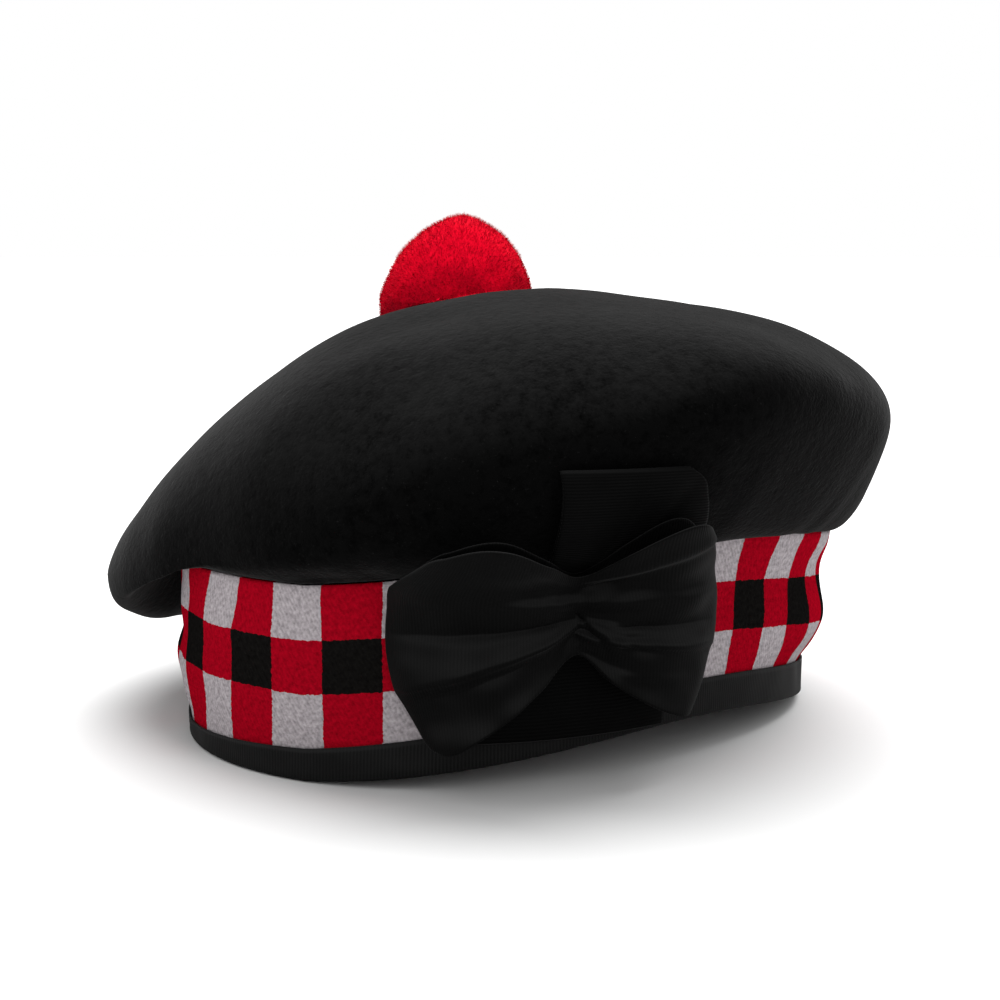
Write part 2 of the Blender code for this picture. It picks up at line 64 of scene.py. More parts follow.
def addNode(tree, kind, inputs, **settings):
    # One node with its settings. An input is another node's output, which is linked, a hex colour or a value.
    node = tree.nodes.new("ShaderNode" + kind)
    for name, setting in settings.items():
        setattr(node, name, setting)
    for socket, source in inputs.items():
        if isinstance(source, bpy.types.NodeSocket):
            tree.links.new(source, node.inputs[socket])
        else:
            node.inputs[socket].default_value = linearColour(source) if isinstance(source, str) else source
    return node.outputs


def makeMaterial(name, surface, *details):
    # surface(tree, *details) adds the nodes of one look and gives its shader's inputs
    material = bpy.data.materials.new(name)
    material.use_nodes = True
    tree = material.node_tree
    tree.nodes.clear()
    shader = addNode(tree, "BsdfPrincipled", {"IOR": 1.5, **surface(tree, *details)})["BSDF"]
    addNode(tree, "OutputMaterial", {"Surface": shader})
    return material


def layered(tree, colour, layers):
    # each layer is a share and the colour that it lays over what is below
    for share, over in layers:
        colour = addNode(tree, "Mix", {"Factor": share, "A": colour, "B": over}, data_type="RGBA")["Result"]
    return colour


def paintedLightMask(tree, span, most=1.0, way=(0.0, 0.0, 1.0)):
    # mask for painted light: most * smooth step over span of (own normal . way), 0 where a surface points
    # little along way
    own = addNode(tree, "TexCoord", {})["Normal"]
    up = addNode(tree, "VectorMath", {0: own, 1: way}, operation="DOT_PRODUCT")["Value"]
    return addNode(tree, "MapRange", {"Value": up, "From Min": span[0], "From Max": span[1], "To Max": most},
                   interpolation_type="SMOOTHSTEP")["Result"]


def softNoise(points, size, seed, waveCount=26):
    # n(p) = sqrt(2 / w) * sum of cos(k . p + f), w waves of about one size in random directions
    random = np.random.default_rng(seed)
    waves = random.normal(size=(waveCount, 3))
    waves /= np.linalg.norm(waves, axis=1)[:, None]
    waves *= 2.0 * math.pi / size * random.uniform(0.6, 1.4, (waveCount, 1))
    phases = random.uniform(0.0, 2.0 * math.pi, waveCount)
    return np.cos(points @ waves.T + phases).sum(axis=-1) * math.sqrt(2.0 / waveCount)


def smoothStep(low, high, value):
    # 3 s^2 - 2 s^3, with s the share of the way from low to high
    share = np.clip((value - low) / (high - low), 0.0, 1.0)
    return share * share * (3.0 - 2.0 * share)


# The head, the band and the rim that it rests on.
headValues = {
    "round": 0.575,             # outside of the band
    "oval": 0.12,               # front and back stand out by this share, the sides stand in
    "gap": 0.0003,
    "sideLift": 0.0110,         # the rim arches off the table at the sides
    "frontRise": 0.0017,        # the band's upper edge stands higher at the front
    "restHalfAngle": 20.0,
    "bindingHeight": 0.0104,
    "dicedHeight": 0.0396,
    "bandWall": 0.0024,
    "bandWaist": 0.0010,
    "bandFlare": 0.0014,
    "waistShare": 0.6,
    "rimPinch": 0.0050,
    "pinchDirection": 53.0,
    "rimLean": 0.0010,
    "leanDirection": 323.0,
}
bandTop = headValues["bindingHeight"] + headValues["dicedHeight"]
# The cloth bulges where the heavy crown pulls it: direction, spread in degrees,
# height, spread in height, outward
bandBulges = (
    (132.0, 26.0, 0.0500, 0.0075, 0.0042),
    (140.0, 22.0, 0.0370, 0.0100, 0.0008),
    (140.0, 24.0, 0.0240, 0.0090, 0.0042),
    (140.0, 24.0, 0.0095, 0.0040, -0.0020),
    (322.0, 28.0, 0.0200, 0.0090, 0.0038),
)

# The binding covers less of the band at the front
bindingDip = {"direction": 330.0, "spread": 46.0, "depth": 0.0058}


def meanHeadRadius():
    # R = round / length of the closed curve r = 1 + oval cos 2d
    turns = np.linspace(0.0, 2.0 * math.pi, 721)
    radii = 1.0 + headValues["oval"] * np.cos(2.0 * turns)
    steps = np.hypot(np.diff(radii * np.sin(turns)), np.diff(radii * np.cos(turns)))
    return headValues["round"] / steps.sum()


headMean = meanHeadRadius()


def rimLift(direction):
    # lift = sideLift * max(0, (sin^2 d - sin^2 a) / (1 - sin^2 a)), a the half angle that lies flat
    start = math.sin(math.radians(headValues["restHalfAngle"])) ** 2
    side = np.sin(np.radians(direction)) ** 2
    return headValues["sideLift"] * np.maximum(0.0, (side - start) / (1.0 - start))


def turnFrom(middle, direction):
    # signed turn in degrees from middle to direction, at most half way round
    return np.mod(direction - middle + 180.0, 360.0) - 180.0


def bindingTop(direction):
    # height - dip * exp(-(turn from its middle / spread)^2)
    away = turnFrom(bindingDip["direction"], direction) / bindingDip["spread"]
    return headValues["bindingHeight"] - bindingDip["depth"] * np.exp(-away ** 2)


def topEdgeHeight(direction):
    # lift + top + rise * cos d, where that is above 0
    front = np.maximum(0.0, np.cos(np.radians(direction)))
    return rimLift(direction) + bandTop + headValues["frontRise"] * front


def bandRadius(direction, height):
    # r = R (1 + oval cos 2d) - waist + flare s^2 + (lean - pinch) (1 - height / top)^2 + bulges, with
    # s = height / top / waistShare - 1, and a bulge out * exp(-(turn / spread)^2 - (rise / spread)^2)
    share = (height / bandTop - headValues["waistShare"]) / headValues["waistShare"]
    pinch = headValues["rimPinch"] * np.sin(np.radians(direction - headValues["pinchDirection"])) ** 2
    lean = headValues["rimLean"] * np.cos(np.radians(direction - headValues["leanDirection"]))
    low = 1.0 - height / bandTop
    bulge = 0.0
    for middle, spread, level, levelSpread, out in bandBulges:
        away = turnFrom(middle, direction) / spread
        bulge = bulge + out * np.exp(-away ** 2 - ((height - level) / levelSpread) ** 2)
    return (headMean * (1.0 + headValues["oval"] * np.cos(np.radians(2.0 * direction)))
            - headValues["bandWaist"] + headValues["bandFlare"] * share ** 2
            + (lean - pinch) * low ** 2 + bulge)


def turned(direction, radius, height):
    # x = r sin d, y = -r cos d, z = height
    direction, radius, height = np.broadcast_arrays(direction, radius, height)
    turn = np.radians(direction)
    return np.stack((radius * np.sin(turn), -radius * np.cos(turn), height), axis=-1)


def gridNormals(points):
    # n = dp/du x dp/dv, u closed round the first side of the grid, v open along the second
    along = np.roll(points, -1, axis=0) - np.roll(points, 1, axis=0)
    across = np.gradient(points, axis=1)
    normals = np.cross(along, across)
    return normals / np.maximum(np.linalg.norm(normals, axis=2), 1e-12)[:, :, None]


def ringFaces(ringCount, ringSize, sectionClosed):
    # quad (i, j), (i + 1, j), (i + 1, j + 1), (i, j + 1), closed round i, and round j if asked
    ring = np.arange(ringCount)[:, None]
    step = np.arange(ringSize if sectionClosed else ringSize - 1)[None, :]
    nextRing = (ring + 1) % ringCount
    nextStep = (step + 1) % ringSize
    corners = (ring * ringSize + step, nextRing * ringSize + step,
               nextRing * ringSize + nextStep, ring * ringSize + nextStep)
    return np.stack([np.broadcast_to(corner, (ringCount, step.size)) for corner in corners],
                    axis=-1).reshape(-1, 4)


def makePiece(name, points, faces, uv, material, node):
    # Mesh object in the bonnet's frame; faces is a list of quad and triangle arrays.
    mesh = bpy.data.meshes.new(name)
    corners = np.concatenate([group.ravel() for group in faces])
    sizes = np.concatenate([np.full(len(group), group.shape[1]) for group in faces])
    places = np.asarray(points, float).reshape(-1, 3) + axisPlace
    mesh.vertices.add(len(places))
    mesh.vertices.foreach_set("co", places.ravel())
    mesh.loops.add(len(corners))
    mesh.loops.foreach_set("vertex_index", corners.astype(np.int32))
    mesh.polygons.add(len(sizes))
    mesh.polygons.foreach_set("loop_start", (np.cumsum(sizes) - sizes).astype(np.int32))
    flatUv = np.asarray(uv, float).reshape(-1, 2)
    cornerUv = []
    for group in faces:
        groupUv = flatUv[group].copy()
        wide = np.ptp(groupUv[:, :, 0], axis=1) > 0.5       # faces across the seam at u = 1
        groupUv[wide, :, 0] += groupUv[wide, :, 0] < 0.5
        cornerUv.append(groupUv.reshape(-1, 2))
    mesh.uv_layers.new(name="clothUv").data.foreach_set("uv", np.concatenate(cornerUv).ravel())
    mesh.update(calc_edges=True)
    mesh.validate()
    mesh.shade_smooth()
    mesh.materials.append(material)
    piece = bpy.data.objects.new(name, mesh)
    bpy.context.scene.collection.objects.link(piece)
    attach(piece, "root")
    if node:
        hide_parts(node)
    return piece


def makeShell(name, outer, inner, outerUv, innerUv, material, node):
    # Closed wall: the outer grid, then the inner grid backwards, joined at both edges.
    loops = np.concatenate((outer, inner[:, ::-1]), axis=1)
    uv = np.concatenate((outerUv, innerUv[:, ::-1]), axis=1)
    faces = [ringFaces(loops.shape[0], loops.shape[1], True)]
    return makePiece(name, loops, faces, uv, material, node)


def makeDome(name, rings, material, node):
    # Rings round an axis, with a middle point that closes the first ring and another the last.
    around, size = rings.shape[:2]
    points = np.concatenate((rings.reshape(-1, 3), rings[:, (0, -1)].mean(axis=0)))
    first = np.arange(around) * size
    following = np.roll(first, -1)
    start = np.stack((np.full(around, around * size), following, first), axis=1)
    end = np.stack((first + size - 1, following + size - 1, np.full(around, around * size + 1)), axis=1)
    u = np.broadcast_to(np.arange(around)[:, None] / around, (around, size))
    v = np.broadcast_to(np.arange(size)[None, :] / (size - 1.0), (around, size))
    uv = np.concatenate((np.stack((u, v), axis=-1).reshape(-1, 2), ((0.5, 0.0), (0.5, 1.0))))
    return makePiece(name, points, [ringFaces(around, size, False), start, end], uv, material, node)


# Wool felt: knitted, then fulled until the stitches vanish. The eye gets a dull, soft
# surface mottled by the matted fibres, and a pale bloom where the nap is seen edge on.
feltLook = {
    # 131313 is painted top light, laid where the tone is high and the surface faces mostly up, toward the side
    # seen
    "dark": "#030303", "light": "#070707", "dust": "#222222", "paintedTopLight": "#131313",
    "mottleSize": 0.0030, "grainSize": 0.0009, "driftSize": 0.022, "reliefDepth": 0.00038,
    "lightSpan": (0.72, 1.0), "dustSpan": (0.66, 0.80), "paintedTopLightToneSpan": (0.65, 1.2), "facingSpan": (0.55, 1.05),
    "paintedTopLightWay": (0.170, -0.446, 0.879),      # unit vector, chosen: mostly up, leaning to the side seen
    "bloom": 0.085, "bloomSpread": 0.36, "bloomColour": "#f0f0f0",
}


def feltSurface(tree):
    # tone = mottle + 0.55 grain + 0.35 drift, from dark to light; dust where the grain peaks;
    # then painted top light, which pales the felt where the tone is high and the surface faces mostly up,
    # toward the side seen
    look = feltLook
    where = addNode(tree, "TexCoord", {})["Object"]
    mottle, grain, drift = (addNode(tree, "TexNoise", {
        "Vector": where, "Scale": 1.0 / look[size], "Detail": detail, "Roughness": roughness})["Fac"]
        for size, detail, roughness in (
            ("mottleSize", 4.0, 0.62), ("grainSize", 3.0, 0.7), ("driftSize", 2.0, 0.5)))
    both = addNode(tree, "Math", {0: grain, 1: 0.55, 2: mottle}, operation="MULTIPLY_ADD")[0]
    tone = addNode(tree, "Math", {0: drift, 1: 0.35, 2: both}, operation="MULTIPLY_ADD")[0]
    lighter, dusty, topLightMottle = (addNode(tree, "MapRange", {
        "Value": value, "From Min": look[span][0], "From Max": look[span][1]})["Result"]
        for value, span in ((tone, "lightSpan"), (grain, "dustSpan"), (tone, "paintedTopLightToneSpan")))
    facing = paintedLightMask(tree, look["facingSpan"], 1.0, look["paintedTopLightWay"])
    paintedTopLightShare = addNode(tree, "Math", {0: facing, 1: topLightMottle}, operation="MULTIPLY")[0]
    colour = layered(tree, look["dark"], (
        (lighter, look["light"]), (dusty, look["dust"]), (paintedTopLightShare, look["paintedTopLight"])))
    relief = addNode(tree, "Bump", {
        "Strength": 0.8, "Distance": look["reliefDepth"], "Height": both})["Normal"]
    return {"Base Color": colour, "Normal": relief, "Roughness": 1.0, "Specular IOR Level": 0.0,
            "Sheen Weight": look["bloom"], "Sheen Roughness": look["bloomSpread"],
            "Sheen Tint": look["bloomColour"]}


# Felted wool crown: one closed wall from the hem inside the band, out over the band's top
# edge, under and round the soft overhang, and up over the top.
crownValues = {
    "wall": 0.0020,
    "rise": 0.0758,             # top above the band's top
    "overhang": 0.0300,
    "hemDepth": 0.0060,
    "lipOut": 0.0010,
    "lipRise": 0.0007,
    "dimpleDepth": 0.0045,
    "dimpleRadius": 0.0230,
    "toorieOffset": 0.0170,
    "toorieDirection": 300.0,
    "aroundSteps": 480,
    "hemRows": 7, "overRows": 9, "underRows": 31, "domeRows": 76,
    "domeEnd": 88.8,            # degrees up the dome to its last row
    "unevenness": 0.0005,       # soft swells over the whole crown, finer ones on them
    "swellSize": 0.060, "fineSize": 0.024, "fineShare": 0.15,
    "pucker": 0.00015,          # gathers where the crown is sewn to the band
    "puckerCount": 34, "puckerStray": 2.4, "straySize": 0.05,
    "evenings": 30,             # smoothing passes over the lining side's normals
    "napFrom": 18,              # first row with nap, just past the lip
}
# rows at equal steps round the crown from the front, in shares of overhang and rise
crownColumns = ("overhang", "height", "fullness", "drop", "tuckOut", "tuckDown")
crownSections = (
    (0.53, 0.06, 2.00, 0.04, 0.10, -0.01),
    (0.56, 0.20, 2.06, 0.10, 0.16, -0.05),
    (0.67, 0.36, 2.05, 0.14, 0.23, -0.02),
    (0.75, 0.55, 2.11, 0.15, 0.22, 0.06),
    (0.79, 0.67, 2.15, 0.15, 0.21, 0.14),
    (0.73, 0.60, 2.13, 0.16, 0.17, 0.10),
    (0.69, 0.46, 2.10, 0.16, 0.13, 0.03),
    (0.79, 0.32, 2.16, 0.15, 0.14, -0.03),
    (0.91, 0.19, 2.20, 0.14, 0.16, -0.04),
    (0.99, 0.11, 2.10, 0.16, 0.17, 0.14),
    (1.04, 0.04, 1.95, 0.18, 0.17, 0.37),
    (1.06, -0.07, 1.78, 0.21, 0.16, 0.57),
    (1.07, -0.16, 1.60, 0.23, 0.15, 0.70),
    (1.11, -0.19, 1.38, 0.26, 0.16, 0.67),
    (1.07, -0.16, 1.30, 0.28, 0.19, 0.58),
    (0.80, -0.07, 1.63, 0.20, 0.28, 0.06),
)
# direction, distance and width in shares of the crown's reach, depth in shares of its rise
crownDents = (
    (15.0, 0.52, 0.24, 0.022),
    (95.0, 0.50, 0.22, 0.022),
    (190.0, 0.55, 0.28, 0.040),
    (280.0, 0.62, 0.24, 0.035),
)
crownTop = bandTop + crownValues["rise"]
toorieMiddle = turned(crownValues["toorieDirection"], crownValues["toorieOffset"], 0.0)[:2]


def crownMeasures(direction):
    # Catmull-Rom between the table's rows, round and round the head
    rows = np.array(crownSections)
    spot = np.mod(direction, 360.0) / 360.0 * len(rows)
    first = np.floor(spot).astype(int)
    share = (spot - first)[..., None]
    before, start, end, after = (rows[(first + k) % len(rows)] for k in (-1, 0, 1, 2))
    values = 0.5 * (2.0 * start + (end - before) * share
                    + (2.0 * before - 5.0 * start + 4.0 * end - after) * share ** 2
                    + (3.0 * start - before - 3.0 * end + after) * share ** 3)
    return dict(zip(crownColumns, np.moveaxis(values, -1, 0)))


def crownSink(x, y):
    # sum of depth * exp(-(distance / width)^2) over the toorie's dimple and the soft dents
    distance = np.hypot(x - toorieMiddle[0], y - toorieMiddle[1])
    total = crownValues["dimpleDepth"] * np.exp(-(distance / crownValues["dimpleRadius"]) ** 2)
    reach = headMean + crownValues["overhang"]
    for direction, away, width, depth in crownDents:
        middle = turned(direction, reach * away, 0.0)
        distance = np.hypot(x - middle[0], y - middle[1])
        total = total + crownValues["rise"] * depth * np.exp(-(distance / (reach * width)) ** 2)
    return total


def crownOutline(direction, underShares, domeAngles):
    # underside: cubic Bezier lip, tuck, turn, widest; dome: superellipse of power 2 / fullness
    measure = crownMeasures(direction)
    reach = headMean + crownValues["overhang"] * measure["overhang"]
    height = bandTop + crownValues["rise"] * measure["height"]
    lipRadius = bandRadius(direction, bandTop) + crownValues["lipOut"]
    lipHeight = topEdgeHeight(direction) + crownValues["lipRise"]
    cornersR = (lipRadius, lipRadius + crownValues["overhang"] * measure["tuckOut"], reach, reach)
    cornersZ = (lipHeight, lipHeight - crownValues["rise"] * measure["tuckDown"],
                height - crownValues["rise"] * measure["drop"], height)
    share = np.asarray(underShares)[None, :]
    weights = ((1 - share) ** 3, 3 * (1 - share) ** 2 * share, 3 * (1 - share) * share ** 2, share ** 3)
    underR = sum(weight * corner[:, None] for weight, corner in zip(weights, cornersR))
    underZ = sum(weight * corner[:, None] for weight, corner in zip(weights, cornersZ))
    angle = np.radians(np.asarray(domeAngles))[None, :]
    power = (2.0 / measure["fullness"])[:, None]
    domeR = reach[:, None] * np.cos(angle) ** power
    domeZ = height[:, None] + (crownTop - height)[:, None] * np.sin(angle) ** power
    return np.concatenate((underR, domeR), axis=1), np.concatenate((underZ, domeZ), axis=1)


def crownTopHeight(x, y):
    # z of the dome over a place: h + (top - h) (1 - (r / reach)^f)^(1 / f) - sink
    direction = np.degrees(np.arctan2(x, -y))
    measure = crownMeasures(direction)
    reach = headMean + crownValues["overhang"] * measure["overhang"]
    height = bandTop + crownValues["rise"] * measure["height"]
    full = measure["fullness"]
    up = (1.0 - (np.hypot(x, y) / reach) ** full) ** (1.0 / full)
    return height + (crownTop - height) * up - crownSink(x, y)


def crownGrid():
    # the outer face, hem first: inside the band, over its edge, under, round and up
    direction = np.linspace(0.0, 360.0, crownValues["aroundSteps"], endpoint=False)
    edge = bandRadius(direction, bandTop)
    lowEdge = bandRadius(direction, bandTop - crownValues["hemDepth"])
    topEdge = topEdgeHeight(direction)
    inside = headValues["bandWall"] + headValues["gap"]
    rise = np.linspace(0.0, 1.0, crownValues["hemRows"])[None, :]
    hemR = (lowEdge - inside)[:, None] * (1 - rise) + (edge - inside)[:, None] * rise
    hemZ = (topEdge - crownValues["hemDepth"])[:, None] + (crownValues["hemDepth"] + headValues["gap"]) * rise
    over = np.linspace(0.0, 1.0, crownValues["overRows"])[None, 1:-1]
    overR = (edge - inside)[:, None] + (inside + crownValues["lipOut"]) * over
    overZ = topEdge[:, None] + headValues["gap"] + (crownValues["lipRise"] - headValues["gap"]) * np.sin(
        over * math.pi / 2.0)
    underShares = np.linspace(0.0, 1.0, crownValues["underRows"])[:-1]
    domeAngles = crownValues["domeEnd"] * np.linspace(0.0, 1.0, crownValues["domeRows"])
    radius, height = crownOutline(direction, underShares, domeAngles)
    radius = np.concatenate((hemR, overR, radius), axis=1)
    height = np.concatenate((hemZ, overZ, height), axis=1)
    points = turned(direction[:, None], radius, height)
    domeStart = radius.shape[1] - len(domeAngles)
    points[:, domeStart:, 2] -= crownSink(points[:, domeStart:, 0], points[:, domeStart:, 1])
    # soft swells, and puckers that fade out over the underside
    rows = np.arange(radius.shape[1])
    lipRow = hemR.shape[1] + overR.shape[1]
    soft = smoothStep(lipRow + 4, lipRow + 26, rows)
    gather = smoothStep(lipRow, lipRow + 5, rows) * (1.0 - smoothStep(lipRow + 6, lipRow + 34, rows))
    normals = gridNormals(points)
    wander = crownValues["puckerStray"] * softNoise(points[:, lipRow + 8, :], crownValues["straySize"], 11)
    pleat = np.cos(np.radians(direction) * crownValues["puckerCount"] + wander)
    fine = crownValues["fineShare"] * softNoise(points, crownValues["fineSize"], 6)
    swell = (softNoise(points, crownValues["swellSize"], 5) + fine) * crownValues["unevenness"]
    shift = swell * soft[None, :] + crownValues["pucker"] * pleat[:, None] * gather[None, :]
    return points + shift[:, :, None] * normals


def makeCrown(material):
    # lining side = outer face - wall * normals, which are evened out so that it can't come through
    # where the cloth turns sharply
    outer = crownGrid()
    normals = gridNormals(outer)
    kept = np.r_[0:outer.shape[1] - 1:2, outer.shape[1] - 1]        # the lining side needs fewer rows
    even = normals
    for _ in range(crownValues["evenings"]):
        even = np.concatenate((even[:, :1], even[:, :-2] + even[:, 1:-1] + even[:, 2:], even[:, -1:]), axis=1)
        even = even + np.roll(even, 1, axis=0) + np.roll(even, -1, axis=0)
        even /= np.linalg.norm(even, axis=2, keepdims=True)
    inner = outer[:, kept] - crownValues["wall"] * even[:, kept]
    rings = np.concatenate((inner[:, ::-1], outer), axis=1)
    return makeDome("feltCrown", rings, material, "crown"), outer, normals


# Single fibres that stand out of a wool surface: two flat links each, tapered.
def makeNap(name, grid, normals, values, material):
    # p(s) = base + length * (s * along + s^2 * bend), half width w (1 - 0.8 s)
    random = np.random.default_rng(values["seed"])
    following = np.roll(grid, -1, axis=0)
    spanU = following[:, :-1] - grid[:, :-1]
    spanV = grid[:, 1:] - grid[:, :-1]
    area = np.linalg.norm(np.cross(spanU, spanV), axis=2)
    chosen = random.choice(area.size, values["count"], p=(area / area.sum()).ravel())
    ring, row = np.unravel_index(chosen, area.shape)
    shareU = random.random((len(chosen), 1))
    shareV = random.random((len(chosen), 1))
    base = grid[ring, row] + shareU * spanU[ring, row] + shareV * spanV[ring, row]
    normal = normals[ring, row]
    loose = random.normal(size=base.shape)
    flat = loose - (loose * normal).sum(axis=1)[:, None] * normal
    flat /= np.linalg.norm(flat, axis=1)[:, None]
    lift = values["lift"] * random.uniform(0.6, 1.4, (len(base), 1))
    along = flat * (1.0 - values["upright"]) + normal * lift
    along /= np.linalg.norm(along, axis=1)[:, None]
    sideways = np.cross(normal, flat) * random.normal(size=(len(base), 1))
    turn = sideways * values["curl"] - normal * values["droop"]
    length = values["length"] * random.uniform(0.55, 1.3, (len(base), 1))
    side = np.cross(along, normal + 0.3 * loose)
    side /= np.linalg.norm(side, axis=1)[:, None]
    base = base - values["sunk"] * normal
    links = []
    for share in (0.0, 0.5, 1.0):
        middle = base + length * (share * along + share ** 2 * turn)
        half = values["width"] / 2.0 * (1.0 - 0.8 * share) * side
        links += [middle - half, middle + half]
    points = np.stack(links, axis=1)
    start = np.arange(len(base))[:, None] * 6
    faces = [np.concatenate((start + np.array((0, 1, 3, 2)), start + np.array((2, 3, 5, 4))))]
    uv = np.broadcast_to(random.random((len(base), 1, 2)), (len(base), 6, 2))
    return makePiece(name, points, faces, uv, material, None)


feltNapValues = {
    "seed": 21, "count": 26000, "length": 0.0011, "width": 0.000080, "lift": 0.22, "upright": 0.0,
    "curl": 0.55, "droop": 0.10, "sunk": 0.0001,
    "dark": "#080808", "pale": "#242322", "paleSpan": (0.55, 1.0),
}


def looseEndsSurface(tree):
    # Loose black wool ends, a few of them undyed kemp that took little colour: each fibre's UV
    # holds its own random number, and that sets how pale it is.
    own = addNode(tree, "UVMap", {}, uv_map="clothUv")["UV"]
    fibre = addNode(tree, "SeparateXYZ", {"Vector": own})["X"]
    low, high = feltNapValues["paleSpan"]
    pale = addNode(tree, "MapRange", {"Value": fibre, "From Min": low, "From Max": high})["Result"]
    tone = layered(tree, feltNapValues["dark"], [(pale, feltNapValues["pale"])])
    return {"Base Color": tone, "Roughness": 1.0, "Specular IOR Level": 0.0}


# Diced band: wool tape woven in three rows of squares. The eye gets hard-edged squares with
# stepped borders, a lumpy white yarn, and a dull surface cut by the weave's fine grooves.
dicingLook = {
    "columns": 38, "startAlong": 0.0207,        # where a pair of squares starts, before the front
    "rowMiddle": 0.0298, "rowHeight": 0.0136,   # the middle row, above the rim's lower edge
    # each Shade colour is its yarn darkened where the lumps and the twill sink: partly yarn tone, partly
    # painted shade in the weave's hollows
    "red": "#a3061c", "redShade": "#700310", "white": "#b5aeb1", "whiteShade": "#706a6d",
    "black": "#151413", "blackShade": "#080707",
    "yarnStep": 0.0006, "stray": 0.0011, "lumpSize": 0.0013, "twillPitch": 0.0012, "reliefDepth": 0.00030,
}


def dicedSurface(tree):
    # A yarn's place is its own place plus a stray, snapped to the yarns; the squares follow from it:
    # odd = sin(pi * along / pitch) > 0, middle row = |up - rowMiddle| < rowHeight / 2;
    # shade = 1.7 lumps + 0.07 sin(slanting floats) - 0.35, kept within 0 and 1
    look = dicingLook
    own = addNode(tree, "UVMap", {}, uv_map="clothUv")["UV"]
    flat = addNode(tree, "VectorMath", {0: own, 1: (headValues["round"], bandTop, 0.0)},
                   operation="MULTIPLY")[0]
    lumps = addNode(tree, "TexNoise", {
        "Vector": flat, "Scale": 1.0 / look["lumpSize"], "Detail": 3.0, "Roughness": 0.6})
    strayed = addNode(tree, "VectorMath", {0: lumps["Color"], 1: (look["stray"],) * 3, 2: flat},
                      operation="MULTIPLY_ADD")[0]
    snapped = addNode(tree, "VectorMath", {0: strayed, 1: (look["yarnStep"],) * 3}, operation="SNAP")[0]
    yarn = addNode(tree, "SeparateXYZ", {"Vector": snapped})
    pitch = headValues["round"] / look["columns"]
    settled = (look["yarnStep"] - look["stray"]) / 2.0      # mean step back by the snap, less the mean stray
    turn = addNode(tree, "Math", {
        0: yarn["X"], 1: math.pi / pitch, 2: math.pi * ((look["startAlong"] + settled) / pitch + 1.0)},
        operation="MULTIPLY_ADD")[0]
    wave = addNode(tree, "Math", {0: turn}, operation="SINE")[0]
    odd = addNode(tree, "Math", {0: wave, 1: 0.0}, operation="GREATER_THAN")[0]
    middle = addNode(tree, "Math", {
        0: yarn["Y"], 1: look["rowMiddle"] - settled, 2: look["rowHeight"] / 2.0}, operation="COMPARE")[0]
    # slanting floats of the twill, broken by the lumps of the spun wool
    pace = math.pi / look["twillPitch"]
    slant = addNode(tree, "VectorMath", {0: flat, 1: (2.0 * pace, 1.25 * pace, 0.0)},
                    operation="DOT_PRODUCT")["Value"]
    bent = addNode(tree, "Math", {0: lumps["Fac"], 1: 5.0, 2: slant}, operation="MULTIPLY_ADD")[0]
    twill = addNode(tree, "Math", {0: bent}, operation="SINE")[0]
    floats = addNode(tree, "Math", {0: twill, 1: 0.07, 2: -0.35}, operation="MULTIPLY_ADD")[0]
    shade = addNode(tree, "Math", {0: lumps["Fac"], 1: 1.7, 2: floats}, operation="MULTIPLY_ADD",
                    use_clamp=True)[0]
    # low shade turns each colour to its darker copy: partly yarn tone, partly painted shade in the hollows
    red, white, black = (layered(tree, look[name + "Shade"], [(shade, look[name])])
                         for name in ("red", "white", "black"))
    outerRows = layered(tree, red, [(odd, white)])
    middleRow = layered(tree, black, [(odd, red)])
    squares = layered(tree, outerRows, [(middle, middleRow)])
    relief = addNode(tree, "Bump", {
        "Strength": 0.9, "Distance": look["reliefDepth"], "Height": shade})["Normal"]
    return {"Base Color": squares, "Normal": relief, "Roughness": 0.95, "Specular IOR Level": 0.0}


bandValues = {
    "aroundSteps": 720, "outerRows": 44, "innerRows": 12, "foot": 0.0011,
    "ripple": 0.00025, "rippleSize": 0.018,
}
# The tape is drawn askew behind the bow: direction, then millimetres that the squares shift
# along it, and that their top edges and their lower edges lean
bandSkew = (
    (0.0, -1.5, 7.6, -0.8),
    (5.5, -1.2, 6.4, -0.5),
    (14.0, -0.4, 1.8, -0.3),
    (23.0, 0.2, 0.4, 0.4),
    (32.0, 1.2, 0.6, 0.2),
    (60.0, 0.0, 0.0, 0.0),
    (84.0, 0.8, 0.0, 0.0),
    (97.0, 3.0, -1.0, -2.4),
    (104.0, 1.9, 0.9, -1.6),
    (111.0, 0.3, 3.9, -0.4),
    (119.0, -1.4, 2.9, 1.6),
    (130.0, -3.6, 1.0, 1.2),
    (141.0, -5.0, 0.5, 0.5),
    (185.0, 0.0, 0.0, 0.0),
    (320.0, 0.0, 0.0, 0.0),
    (346.0, -0.8, 6.2, -1.2),
    (354.6, -1.2, 8.0, -1.0),
    (360.0, -1.5, 7.6, -0.8),
)


def arcShares(direction, radius):
    # share of the way round, measured along the band's own curve from the front
    closed = turned(np.append(direction, 360.0), np.append(radius, radius[0]), 0.0)
    steps = np.linalg.norm(np.diff(closed, axis=0), axis=1)
    return np.concatenate(((0.0,), np.cumsum(steps)[:-1])) / steps.sum()


